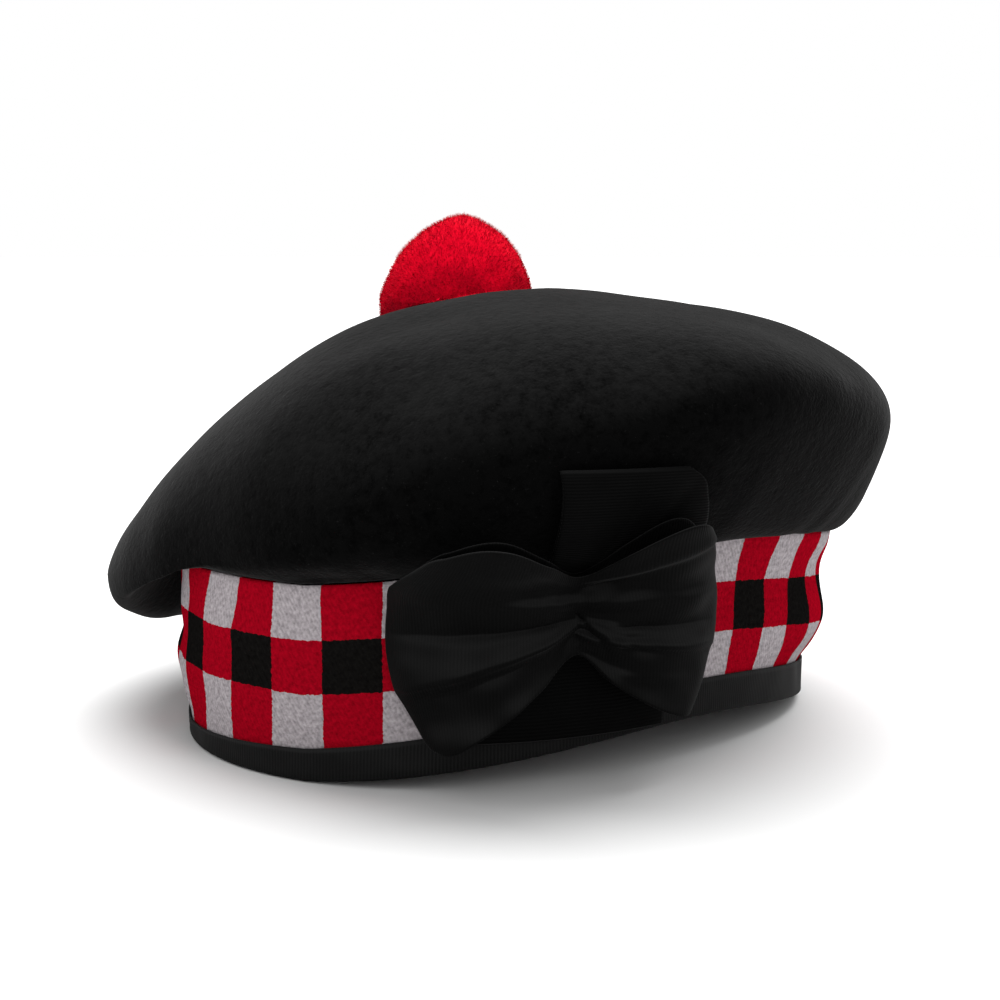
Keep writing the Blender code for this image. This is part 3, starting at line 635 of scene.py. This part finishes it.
def makeBand(material):
    # the outer face and, a wall further in, the inner one; ripples fade out at both borders
    direction = np.linspace(0.0, 360.0, bandValues["aroundSteps"], endpoint=False)
    foot = bandValues["foot"] + headValues["gap"]

    def face(rows, depth):
        # r less depth; above 0.6 of the top the level stretches to the top edge, by a smooth step
        height = np.linspace(foot, bandTop, rows)[None, :]
        radius = bandRadius(direction[:, None], height) - depth
        stretch = smoothStep(0.6 * bandTop, bandTop, height)
        level = rimLift(direction)[:, None] + height
        level = level + (topEdgeHeight(direction)[:, None] - bandTop - rimLift(direction)[:, None]) * stretch
        return turned(direction[:, None], radius, level), height

    outer, outerHeight = face(bandValues["outerRows"], 0.0)
    inner, innerHeight = face(bandValues["innerRows"], headValues["bandWall"])
    edge = bindingTop(direction)[:, None]
    clear = smoothStep(edge, edge + 0.006, outerHeight) * (
        1.0 - smoothStep(bandTop - 0.005, bandTop - 0.001, outerHeight))
    ripple = bandValues["ripple"] * softNoise(outer, bandValues["rippleSize"], 31) * clear
    outer = outer + ripple[:, :, None] * gridNormals(outer)
    share = arcShares(direction, bandRadius(direction, 0.6 * bandTop))
    skew = np.array(bandSkew).T
    shift, leanTop, leanLow = (np.interp(direction, skew[0], row)[:, None] / 1000.0 for row in skew[1:])

    def laid(height):
        # u = share of the way round - (shift + leans) / round, v = height / top; one lean grows
        # over the upper squares, the other downward over the lower ones
        top = np.clip((height - 0.72 * bandTop) / (0.28 * bandTop), 0.0, 1.0)
        low = np.clip((0.46 * bandTop - height) / (0.25 * bandTop), 0.0, 1.0)
        moved = (shift + leanTop * top + leanLow * low) / headValues["round"]
        return np.stack(np.broadcast_arrays(share[:, None] - moved, height / bandTop), axis=-1)

    outerUv, innerUv = laid(outerHeight), laid(innerHeight)
    return makeShell("dicedBand", outer, inner, outerUv, innerUv, material, "diced_band")


# Grosgrain ribbon: a fine warp over thick wefts gives round ribs across its width. The eye
# gets a dense black with a low sheen along each rib.
ribbonLook = {
    # the groove colour is painted shade between the ribs and the crest colour painted light on them; #191919
    # is painted top light on what faces up
    "crest": "#080808", "groove": "#050505", "ribTopLight": "#191919", "ribTopLightSpan": (-0.05, 0.45),
    "ribPitch": 0.00095, "reliefDepth": 0.00006, "straySize": 0.0016, "fadeSize": 0.012,
    "roughness": 0.7, "gloss": 0.03,
}
# The upright is the same ribbon with darker grooves and a dimmer top light, painted shade where it stands
# behind the bow.
shadedUprightLook = {**ribbonLook, "groove": "#030303", "ribTopLight": "#090909", "reliefDepth": 0.00009, "gloss": 0.02}
bindingLook = {**ribbonLook, "crest": "#1a1a1a", "groove": "#0d0d0d", "ribTopLight": "#1f1f1f", "gloss": 0.04}


def grosgrainSurface(tree, ribLength, look):
    # height = 0.5 + 0.5 sin(2 pi * distance along the ribbon / pitch + stray), distance from the piece's
    # own UV; from groove to crest by height * fading, the grooves darker as painted shade between the ribs;
    # then painted top light where it faces up, more on the ribs
    own = addNode(tree, "UVMap", {}, uv_map="clothUv")["UV"]
    along = addNode(tree, "SeparateXYZ", {"Vector": own})["X"]
    where = addNode(tree, "TexCoord", {})["Object"]
    stray, faded = (addNode(tree, "TexNoise", {
        "Vector": where, "Scale": 1.0 / look[size], "Detail": detail})["Fac"]
        for size, detail in (("straySize", 2.0), ("fadeSize", 3.0)))
    phase = addNode(tree, "Math", {0: along, 1: 2.0 * math.pi * ribLength / look["ribPitch"], 2: stray},
                    operation="MULTIPLY_ADD")[0]
    wave = addNode(tree, "Math", {0: phase}, operation="SINE")[0]
    rib = addNode(tree, "Math", {0: wave, 1: 0.5, 2: 0.5}, operation="MULTIPLY_ADD")[0]
    tone = addNode(tree, "Math", {0: rib, 1: faded}, operation="MULTIPLY")[0]
    lighter = addNode(tree, "MapRange", {"Value": tone, "From Max": 0.62})["Result"]
    caught = addNode(tree, "MapRange", {"Value": rib, "To Min": 0.75})["Result"]
    paintedTopLightShare = addNode(tree, "Math", {0: paintedLightMask(tree, look["ribTopLightSpan"]), 1: caught}, operation="MULTIPLY")[0]
    colour = layered(tree, look["groove"], ((lighter, look["crest"]), (paintedTopLightShare, look["ribTopLight"])))
    relief = addNode(tree, "Bump", {"Strength": 0.9, "Distance": look["reliefDepth"], "Height": rib})["Normal"]
    return {"Base Color": colour, "Normal": relief, "Roughness": look["roughness"],
            "Specular IOR Level": look["gloss"], "Sheen Weight": 0.02, "Sheen Roughness": 0.35}


# Binding: a ribbon folded over the band's lower edge.
bindingValues = {
    "wall": 0.0008, "inside": 0.0090, "corner": 0.0009, "aroundSteps": 720,
    "uneven": 0.00012, "unevenSize": 0.014,
    "drawnShare": 0.86,         # of the wall, which leaves the band a little more room
}


def makeBinding(material):
    # the band's radius with slack on both sides: up the outside to bindingTop, inside to its own height
    direction = np.linspace(0.0, 360.0, bindingValues["aroundSteps"], endpoint=False)
    slack = headValues["gap"] + bindingValues["wall"]
    nearFoot = bandRadius(direction, 0.0) + slack
    edge = bindingTop(direction)
    nearTop = bandRadius(direction, edge) + slack
    farFoot = bandRadius(direction, 0.0) - headValues["bandWall"] - slack
    farTop = bandRadius(direction, bindingValues["inside"]) - headValues["bandWall"] - slack
    corner = bindingValues["corner"]
    # inside top, down, quarter arc, under, quarter arc, up the outside
    down = np.linspace(0.0, 1.0, 7)[None, :]
    arc = np.radians(np.linspace(0.0, 90.0, 5))[None, 1:-1]
    radius = np.concatenate((
        farTop[:, None] * (1 - down) + farFoot[:, None] * down,
        farFoot[:, None] + corner * (1 - np.cos(arc)),
        (farFoot + corner)[:, None] * (1 - down) + (nearFoot - corner)[:, None] * down,
        nearFoot[:, None] - corner * (1 - np.sin(arc)),
        nearFoot[:, None] * (1 - down) + nearTop[:, None] * down), axis=1)
    height = np.concatenate([np.broadcast_to(part, (len(direction), part.shape[1])) for part in (
        bindingValues["inside"] * (1 - down) + corner * down,
        corner * (1 - np.sin(arc)), 0.0 * down, corner * (1 - np.cos(arc)),
        corner * (1 - down) + edge[:, None] * down)], axis=1)
    outer = turned(direction[:, None], radius, rimLift(direction)[:, None] + height)
    steps = np.linalg.norm(np.diff(outer, axis=1), axis=2)
    across = np.concatenate((np.zeros((len(direction), 1)), np.cumsum(steps, axis=1)), axis=1)
    across = across / across[:, -1:]
    share = arcShares(direction, nearFoot)
    uv = np.stack(np.broadcast_arrays(share[:, None], across), axis=-1)
    outside = height > 0.5 * corner
    uneven = bindingValues["uneven"] * softNoise(outer, bindingValues["unevenSize"], 41)
    uneven = uneven * smoothStep(0.0, 0.003, height) * outside
    normals = gridNormals(outer)
    inner = outer - bindingValues["wall"] * bindingValues["drawnShare"] * normals
    outer = outer + uneven[:, :, None] * normals
    return makeShell("edgeBinding", outer, inner, uv, uv, material, "edge_binding")


# Cockade: how a wide ribbon lies on the side of the bonnet.
ribbonValues = {
    "width": 0.0600,
    "wall": 0.0007,
    "knotDirection": 63.0,
    "knotHeight": 0.0460,
    "seatSpan": 0.0060,
    "seatReach": 60.0, "seatTurn": 0.75, "seatLow": -0.012, "seatTop": 0.130, "seatStep": 0.0005,
}


def makeSeat():
    # widest radius of binding, band and crown at each direction and height, bridged by the cloth:
    # the mean of the greatest radii over five windows, each a seatSpan long
    # and then the mean of seven heights, taken three times
    reach = ribbonValues["seatReach"]
    direction = ribbonValues["knotDirection"] + np.arange(-reach, reach + 0.5, ribbonValues["seatTurn"])
    height = np.arange(ribbonValues["seatLow"], ribbonValues["seatTop"], ribbonValues["seatStep"])
    lift = rimLift(direction)[:, None]
    aboveRim = np.clip(height[None, :] - lift, 0.0, bandTop)
    wall = bandRadius(direction[:, None], aboveRim)
    wall = wall + (height[None, :] - lift < bindingTop(direction)[:, None]) * (
        headValues["gap"] + bindingValues["wall"])
    radius, level = crownOutline(direction, np.linspace(0.0, 1.0, 25), np.linspace(4.0, 84.0, 24))
    start = level[:, :-1, None]
    step = np.diff(level, axis=1)[:, :, None]
    share = (height[None, None, :] - start) / step
    crossed = (share >= 0.0) & (share <= 1.0)
    reached = radius[:, :-1, None] + share * np.diff(radius, axis=1)[:, :, None]
    table = np.maximum(wall, np.where(crossed, reached, 0.0).max(axis=1))
    jump = int(round(ribbonValues["seatSpan"] / 4.0 / ribbonValues["seatStep"]))
    padded = np.pad(table, ((0, 0), (4 * jump, 4 * jump)), mode="edge")
    shifted = np.stack([padded[:, k * jump:k * jump + table.shape[1]] for k in range(9)])
    seat = np.mean([shifted[k:k + 5].max(axis=0) for k in range(5)], axis=0)
    for _ in range(3):
        soft = np.pad(seat, ((0, 0), (3, 3)), mode="edge")
        seat = np.mean([soft[:, k:k + seat.shape[1]] for k in range(7)], axis=0)
    return direction, height, seat


seatDirection, seatHeight, seatRadii = makeSeat()


def seatRadius(direction, height):
    # bilinear value of the seat's table
    def spotIn(places, value):
        # whole steps and the share of the next one
        spot = np.clip((value - places[0]) / (places[1] - places[0]), 0, len(places) - 1.001)
        return spot.astype(int), spot - spot.astype(int)

    (d, sd), (h, sh) = spotIn(seatDirection, direction), spotIn(seatHeight, height)
    return (seatRadii[d, h] * (1 - sd) * (1 - sh) + seatRadii[d + 1, h] * sd * (1 - sh)
            + seatRadii[d, h + 1] * (1 - sd) * sh + seatRadii[d + 1, h + 1] * sd * sh)


def ribbonPlace(along, height, off):
    # direction = knot + along / radius there, radius = seat + off
    knot = ribbonValues["knotDirection"]
    direction = knot + np.degrees(along / seatRadius(np.full_like(height, knot), height))
    return turned(direction, seatRadius(direction, height) + off, height)


def tableValue(rows, column, place):
    # cubic Hermite between a table's rows, whose first column is the place
    table = np.array(rows)
    places, values = table[:, 0], table[:, column]
    slopes = np.gradient(values, places)
    index = np.clip(np.searchsorted(places, place) - 1, 0, len(places) - 2)
    step = places[index + 1] - places[index]
    share = np.clip((place - places[index]) / step, 0.0, 1.0)
    rest = 1.0 - share
    return (values[index] * (1 + 2 * share) * rest ** 2 + slopes[index] * step * share * rest ** 2
            + values[index + 1] * share ** 2 * (3 - 2 * share) - slopes[index + 1] * step * share ** 2 * rest)


def outlineAt(rows, scales, place):
    # each column of an outline at a place, times that column's scale
    return [scale * tableValue(rows, column, place)[:, None] for column, scale in enumerate(scales, start=1)]


def foldRelief(along, height, folds):
    # sum of rise * fade(s) * exp(-(d / w)^1.5): s the share along a fold's line, d the distance
    # from the line, w its width above or below the line, a third as wide at the knot's end
    total = np.zeros_like(along)
    for fromAlong, fromHeight, toAlong, toHeight, widthAbove, widthBelow, rise in folds:
        startPlace = np.array((fromAlong, fromHeight)) / 1000.0
        line = np.array((toAlong, toHeight)) / 1000.0 - startPlace
        length = np.hypot(*line)
        x, y = along - startPlace[0], height - startPlace[1]
        share = (x * line[0] + y * line[1]) / length ** 2
        away = (y * line[0] - x * line[1]) / length * np.sign(line[0])
        held = np.clip(share, 0.0, 1.0)
        width = np.where(away > 0, widthAbove, widthBelow) / 1000.0 * (0.33 + 0.67 * held)
        past = np.maximum(share - 1.0, 0.0) / 0.25
        fade = smoothStep(-0.12, 0.18, share) * np.exp(-past ** 2) * (1.0 - 0.25 * held)
        total += rise / 1000.0 * fade * np.exp(-np.abs(away / width) ** 1.5)
    return total


def ringPlaces(frontCount, backCount):
    # out over the front layer from -1 to 1, home over the back layer, closer together at the ends
    def spread(count):
        # 0.35 sin(pi s / 2) + 0.65 s, s from -1 to 1
        share = np.linspace(-1.0, 1.0, count)
        return np.sin(share * math.pi / 2.0) * 0.35 + share * 0.65
    front, home = spread(frontCount), spread(backCount)[::-1][1:-1]
    place = np.concatenate((front, home))
    return place, np.concatenate((np.ones(len(front)), -np.ones(len(home))))


def makeRibbon(name, middle, across, material, node):
    # wall on both sides of a closed ring of ribbon: half = wall / 2 (1 - 0.55 |s|^30), s from selvage
    # to selvage; u = share of the ring's length, v = across
    steps = np.linalg.norm(np.roll(middle, -1, axis=0) - middle, axis=2).mean(axis=1)
    print(name, "length of the ring:", round(float(steps.sum()), 4))
    along = np.concatenate(((0.0,), np.cumsum(steps)[:-1])) / steps.sum()
    uv = np.stack(np.broadcast_arrays(along[:, None], across), axis=-1)
    normals = gridNormals(middle)
    share = np.linspace(-1.0, 1.0, middle.shape[1])[None, :, None]
    half = ribbonValues["wall"] / 2.0 * (1.0 - 0.55 * np.abs(share) ** 30)
    return makeShell(name, middle + half * normals, middle - half * normals, uv, uv, material, node)


# Bow: pinched at the knot, one loop toward the front and one toward the back.
bowValues = {
    "left": 0.0417, "right": 0.0418, "back": 0.0072, "stand": 0.0120,
    "leftBow": 0.09, "leftMiddle": -0.005,          # the loops' ends bow outward round these heights
    "rightBow": 0.20, "rightMiddle": -0.003, "bowSpan": 0.020,
    "frontSteps": 190, "backSteps": 60, "acrossSteps": 76, "gather": 0.00022, "gatherReach": 0.012,
    "gatherCount": 15.0, "rumple": 0.00025, "rumpleSize": 0.011,
    "ringLength": 0.2263,                           # as printed by makeRibbon
}
# along, low, high, back, stand: shares of the loop's length, the ribbon's width and the two depths
bowOutline = (
    (-1.00, -0.32, 0.14, 0.35, 0.30),
    (-0.90, -0.49, 0.27, 0.40, 0.60),
    (-0.76, -0.55, 0.32, 0.50, 0.85),
    (-0.47, -0.46, 0.36, 0.95, 1.00),
    (-0.22, -0.31, 0.27, 1.00, 0.80),
    (0.00, -0.17, 0.18, 1.00, 0.40),
    (0.22, -0.31, 0.32, 1.00, 0.80),
    (0.50, -0.43, 0.43, 1.00, 1.00),
    (0.76, -0.46, 0.40, 1.00, 0.80),
    (0.92, -0.43, 0.32, 0.95, 0.50),
    (1.00, -0.38, 0.22, 0.90, 0.25),
)
# folds in millimetres from the knot: from along, from height, to along, to height,
# width above, width below, rise (negative for a valley)
bowFolds = (
    (-0.5, 3.6, -29.0, 6.4, 5.0, 6.0, 4.0),
    (-3.0, -1.0, -33.0, -3.4, 3.4, 1.5, -2.0),
    (-0.5, -3.0, -34.5, -17.0, 6.2, 1.3, 3.6),
    (-2.0, -5.6, -33.0, -20.0, 1.2, 7.0, -1.0),
    (-3.0, 9.5, -19.0, 20.5, 2.4, 1.8, 1.0),
    (-9.0, 13.0, -33.0, 16.0, 5.0, 5.0, 0.7),
    (1.0, 9.4, 25.0, 19.4, 3.4, 1.3, 2.4),
    (1.5, 7.6, 24.0, 16.0, 1.3, 3.0, -2.0),
    (1.0, 3.4, 31.0, 4.6, 7.0, 5.0, 2.8),
    (0.5, -1.8, 8.3, -6.4, 4.0, 0.9, 1.8),
    (9.0, -3.0, 30.0, -3.6, 2.6, 1.5, -1.8),
    (-0.5, -4.4, 7.0, -8.0, 1.8, 0.9, 1.5),
    (5.0, -6.4, 31.0, -10.0, 2.2, 1.0, 2.4),
    (-0.6, 1.3, 5.2, -6.7, 0.8, 0.8, -1.5),
    (1.0, -9.0, 12.0, -15.0, 3.0, 4.0, -1.3),
    (9.0, -15.0, 33.0, -19.0, 5.0, 5.0, 0.9),
)
# along, height, width, rise in millimetres: where the stitch at the knot and a finger press it in
bowDimples = (
    (0.3, -1.0, 3.4, -1.6),
    (-31.0, -28.0, 4.0, -0.5),
    (-32.0, -3.0, 5.0, -0.5),
    (27.0, 17.0, 5.0, -0.6),
)


def makeBow(material):
    # off = back + stand / 2 + turn (stand / 2 + folds in front), turn = side * sqrt(1 - place^6)
    place, side = ringPlaces(bowValues["frontSteps"], bowValues["backSteps"])
    across = np.linspace(0.0, 1.0, bowValues["acrossSteps"])[None, :]
    wide = ribbonValues["width"]
    low, high, back, stand = outlineAt(bowOutline, (wide, wide, bowValues["back"], bowValues["stand"]), place)
    turn = np.sqrt(np.maximum(1.0 - np.abs(place) ** 6, 0.0))[:, None] * side[:, None]
    fromKnot = low + (high - low) * across
    left = (place < 0.0)[:, None]
    middle = np.where(left, bowValues["leftMiddle"], bowValues["rightMiddle"])
    bowed = np.where(left, bowValues["leftBow"], bowValues["rightBow"])
    bowed = bowed * ((fromKnot - middle) / bowValues["bowSpan"]) ** 2
    along = place[:, None] * np.where(left, bowValues["left"], bowValues["right"])
    along = along * (1.0 - np.abs(place[:, None]) ** 3 * bowed)
    folds = foldRelief(along, fromKnot, bowFolds)
    for dimpleAlong, dimpleHeight, width, depth in bowDimples:
        distance = np.hypot(along * 1000.0 - dimpleAlong, fromKnot * 1000.0 - dimpleHeight)
        folds += depth / 1000.0 * np.exp(-(distance / width) ** 2)
    reach = np.hypot(along, fromKnot)
    angle = np.arctan2(fromKnot, along)
    pleats = np.cos(bowValues["gatherCount"] * angle + 1.3 * np.sin(3.0 * angle))
    folds += bowValues["gather"] * pleats * np.exp(-reach / bowValues["gatherReach"]) * smoothStep(
        0.002, 0.006, reach)
    flat = np.stack((along, fromKnot, 0.0 * along), axis=-1)
    folds += bowValues["rumple"] * softNoise(flat, bowValues["rumpleSize"], 51)
    off = back + stand / 2.0 + turn * (stand / 2.0 + folds * (side[:, None] > 0))
    middle = ribbonPlace(along, ribbonValues["knotHeight"] + fromKnot, off)
    return makeRibbon("cockadeBow", middle, across, material, "cockade_bow")


# Upright ribbon behind the bow, from the binding up over the side of the crown.
uprightValues = {
    "top": 0.0390, "foot": 0.0335, "back": 0.0016, "stand": 0.0024,
    "frontSteps": 110, "backSteps": 50, "acrossSteps": 60,
    "ringLength": 0.1791,                           # as printed by makeRibbon
}
# along, front, back, stand: shares of the length, the ribbon's width and the stand
uprightOutline = (
    (-1.00, -0.38, 0.48, 0.6),
    (-0.55, -0.30, 0.44, 1.0),
    (0.00, -0.12, 0.26, 0.8),
    (0.45, -0.12, 0.54, 1.0),
    (0.80, -0.12, 0.52, 0.9),
    (0.94, -0.13, 0.47, 0.8),
    (1.00, -0.14, 0.41, 0.6),
)
uprightFolds = (
    (2.0, 9.0, 12.0, 34.0, 3.0, 3.0, 0.7),
    (6.0, 9.0, 25.0, 33.0, 3.0, 3.0, -0.6),
    (-2.0, 9.0, -8.0, 34.0, 3.0, 3.0, -0.5),
    (3.0, -10.0, 14.0, -32.0, 3.5, 3.5, 0.6),
    (-3.0, -10.0, -10.0, -32.0, 3.5, 3.5, 0.5),
)


def makeUpright(material):
    # off = back + stand (0.5 + turn) + 2 |turn| folds in front, turn = side * sqrt(1 - place^8) / 2
    place, side = ringPlaces(uprightValues["frontSteps"], uprightValues["backSteps"])
    across = np.linspace(0.0, 1.0, uprightValues["acrossSteps"])[None, :]
    wide = ribbonValues["width"]
    front, rear, stand = outlineAt(uprightOutline, (wide, wide, uprightValues["stand"]), place)
    turn = np.sqrt(np.maximum(1.0 - np.abs(place) ** 8, 0.0))[:, None] * side[:, None] / 2.0
    length = np.where(place < 0.0, uprightValues["foot"], uprightValues["top"])
    fromKnot = (place * length)[:, None] + 0.0 * across
    along = front + (rear - front) * across
    folds = foldRelief(along, fromKnot, uprightFolds) * (side[:, None] > 0)
    off = uprightValues["back"] + stand * (0.5 + turn) + np.abs(turn) * 2.0 * folds
    middle = ribbonPlace(along, ribbonValues["knotHeight"] + fromKnot, off)
    return makeRibbon("cockadeUpright", middle, across, material, "cockade_upright")


# Toorie: a ball of wool ends bound at the foot and clipped to a soft peak. The eye gets a
# deep velvety red, brightest where the cut ends face the light.
toorieValues = {
    "radius": 0.0223, "height": 0.0250, "lean": 0.0022, "fullness": 1.70, "sink": 0.0050, "gap": 0.0006,
    "aroundSteps": 200, "rows": 70, "footRows": 24, "domeEnd": 88.5, "lump": 0.00015, "lumpSize": 0.009,
    "napFrom": 22,              # first row with pile, just below the ball's widest one
}
toorieNapValues = {
    "seed": 77, "count": 48000, "length": 0.0020, "width": 0.00024, "lift": 1.0, "upright": 0.45,
    "curl": 0.25, "droop": 0.0, "sunk": 0.0013,
}
toorieLook = {
    # the mix from deep to bright red is part random tone, part painted light on top and painted shade below
    "deep": "#5e0110", "bright": "#d00020", "sheen": "#f20632", "tuftSize": 0.0010, "cloudSize": 0.011,
    "toneSpan": (0.4, 1.6), "litTopSpan": (-0.2, 0.9), "litTopShare": 0.72,
}


def toorieGrid():
    # r = R cos^p a, z = H sin^p a, p = 2 / fullness, leaning back with height
    turn = np.linspace(0.0, 2.0 * math.pi, toorieValues["aroundSteps"], endpoint=False)[:, None]
    widest = float(crownTopHeight(*toorieMiddle)) + toorieValues["sink"]
    power = 2.0 / toorieValues["fullness"]
    angle = np.radians(toorieValues["domeEnd"] * np.linspace(0.0, 1.0, toorieValues["rows"]))[None, :]
    radius = toorieValues["radius"] * np.cos(angle) ** power
    height = toorieValues["height"] * np.sin(angle) ** power
    x = toorieMiddle[0] + radius * np.cos(turn)
    y = toorieMiddle[1] + radius * np.sin(turn) + toorieValues["lean"] * height / toorieValues["height"]
    z = widest + height + 0.0 * turn
    dome = np.stack((x, y, z), axis=-1)
    share = np.linspace(0.04, 1.0, toorieValues["footRows"])[None, :]
    footR = toorieValues["radius"] * np.sin(share * math.pi / 2.0) ** 0.9
    footX = toorieMiddle[0] + footR * np.cos(turn)
    footY = toorieMiddle[1] + footR * np.sin(turn)
    rest = crownTopHeight(footX, footY) + toorieValues["gap"]
    rounding = 1.0 - np.sqrt(np.maximum(1.0 - share ** 6, 0.0))
    footZ = rest * (1.0 - rounding) + widest * rounding
    foot = np.stack((footX, footY, np.maximum(footZ, rest)), axis=-1)[:, :-1]
    grid = np.concatenate((foot, dome), axis=1)
    lump = toorieValues["lump"] * softNoise(grid, toorieValues["lumpSize"], 71)
    rising = smoothStep(foot.shape[1] - 3, foot.shape[1] + 4, np.arange(grid.shape[1]))
    return grid + (lump * rising)[:, :, None] * gridNormals(grid)


def toorieSurface(tree):
    # share = (cloud + 0.7 tuft, laid from 0 to 1 over its span) + a painted top light on what faces up:
    # from the deep red, painted shade low on the ball, to the bright red, painted light on top
    look = toorieLook
    where = addNode(tree, "TexCoord", {})["Object"]
    tuft, cloud = (addNode(tree, "TexNoise", {
        "Vector": where, "Scale": 1.0 / look[size], "Detail": detail})["Fac"]
        for size, detail in (("tuftSize", 3.0), ("cloudSize", 2.0)))
    tone = addNode(tree, "Math", {0: tuft, 1: 0.7, 2: cloud}, operation="MULTIPLY_ADD")[0]
    low, high = look["toneSpan"]
    even = addNode(tree, "MapRange", {"Value": tone, "From Min": low, "From Max": high})["Result"]
    share = addNode(tree, "Math", {0: paintedLightMask(tree, look["litTopSpan"], look["litTopShare"]), 1: even},
                    operation="ADD")[0]
    wool = layered(tree, look["deep"], [(share, look["bright"])])
    return {"Base Color": wool, "Roughness": 0.9, "Specular IOR Level": 0.03,
            "Sheen Weight": 0.12, "Sheen Roughness": 0.4, "Sheen Tint": look["sheen"]}


def makeToorie(material):
    # one ball closed at both ends, with single fibres from its widest part up
    grid = toorieGrid()
    dome = grid[:, toorieValues["napFrom"]:]
    ball = makeDome("toorieBall", grid, material, "toorie")
    return ball, makeNap("tooriePile", dome, gridNormals(dome), toorieNapValues, material)


print("felt crown")
feltCrown, crownOuter, crownNormals = makeCrown(makeMaterial("fulledWoolFelt", feltSurface))
napFrom = crownValues["napFrom"]
crownNap = makeNap("crownNap", crownOuter[:, napFrom:], crownNormals[:, napFrom:], feltNapValues,
                   makeMaterial("looseWoolEnds", looseEndsSurface))
print("diced band and binding")
dicedBand = makeBand(makeMaterial("wovenDicedWool", dicedSurface))
edgeBinding = makeBinding(makeMaterial("ribbedBindingRibbon", grosgrainSurface, headValues["round"],
                                       bindingLook))
print("cockade")
cockadeBow = makeBow(makeMaterial("grosgrainBow", grosgrainSurface, bowValues["ringLength"], ribbonLook))
cockadeUpright = makeUpright(makeMaterial("grosgrainUpright", grosgrainSurface, uprightValues["ringLength"],
                                          shadedUprightLook))
print("toorie")
toorieBall, tooriePile = makeToorie(makeMaterial("clippedRedWool", toorieSurface))

# Studio: a wide pale floor under an even white sky, and one large soft light from above,
# behind and left of the camera's view.
studioValues = {
    "floorRadius": 12.0, "floorRings": 24, "floorDrop": 0.0002, "floorColour": "#cecece",
    "skyColour": "#ffffff", "skyStrength": 1.0,
    "lightStrength": 5.4, "lightAngle": 65.0, "lightTilt": 25.0, "lightTurn": 215.0,
}


def makeStudio():
    # rings of radius R s^2 about the middle, and a light tilted from straight above
    turn = np.linspace(0.0, 2.0 * math.pi, 97)[:-1, None]
    share = np.linspace(0.0, 1.0, studioValues["floorRings"] + 1)[None, 1:]
    radius = studioValues["floorRadius"] * share ** 2
    low = -studioValues["floorDrop"]
    rings = np.stack((radius * np.cos(turn), radius * np.sin(turn), 0.0 * radius * turn + low), axis=-1)
    around, size = rings.shape[:2]
    first = np.arange(around) * size
    faces = ringFaces(around, size, False)[:, ::-1].tolist()
    faces += np.stack((np.full(around, around * size), first, np.roll(first, -1)), axis=1).tolist()
    mesh = bpy.data.meshes.new("studioFloor")
    mesh.from_pydata(rings.reshape(-1, 3).tolist() + [(0.0, 0.0, low)], [], faces)
    mesh.materials.append(makeMaterial("paleStudioPaper", lambda tree: {
        "Base Color": studioValues["floorColour"], "Roughness": 0.95, "Specular IOR Level": 0.0}))
    floor = bpy.data.objects.new("studioFloor", mesh)
    bpy.context.scene.collection.objects.link(floor)
    light = bpy.data.lights.new("softLight", "SUN")
    light.energy = studioValues["lightStrength"]
    light.angle = math.radians(studioValues["lightAngle"])
    lamp = bpy.data.objects.new("softLight", light)
    bpy.context.scene.collection.objects.link(lamp)
    lamp.rotation_euler = (math.radians(studioValues["lightTilt"]), 0.0,
                           math.radians(studioValues["lightTurn"]))
    world = bpy.context.scene.world or bpy.data.worlds.new("world")
    bpy.context.scene.world = world
    world.use_nodes = True
    sky = world.node_tree.nodes["Background"]
    sky.inputs["Color"].default_value = linearColour(studioValues["skyColour"])
    sky.inputs["Strength"].default_value = studioValues["skyStrength"]


# Camera: fitted to the rim's and the dicing's places in the photograph.
cameraValues = {
    "azimuth": 52.843, "elevation": 8.0213, "distance": 0.560, "lens": 67.37,
    "targetAcross": -0.0025308, "targetHeight": 0.062191, "sensor": 36.0, "clipStart": 0.05,
}


def makeCamera():
    # on a line turned by azimuth and raised by elevation, at its distance from the target
    turn, rise = math.radians(cameraValues["azimuth"]), math.radians(cameraValues["elevation"])
    back = np.array((math.sin(turn) * math.cos(rise), -math.cos(turn) * math.cos(rise), math.sin(rise)))
    across = cameraValues["targetAcross"]
    target = axisPlace + np.array((across * math.cos(turn), across * math.sin(turn),
                                   cameraValues["targetHeight"]))
    camera = bpy.data.objects.new("camera", bpy.data.cameras.new("camera"))
    bpy.context.scene.collection.objects.link(camera)
    camera.data.lens = cameraValues["lens"]
    camera.data.sensor_width = cameraValues["sensor"]
    camera.data.clip_start = cameraValues["clipStart"]
    camera.location = target + cameraValues["distance"] * back
    camera.rotation_euler = (math.pi / 2.0 - rise, 0.0, turn)
    bpy.context.scene.camera = camera


print("studio and camera")
makeStudio()
bpy.context.scene.view_settings.view_transform = "Standard"
makeCamera()
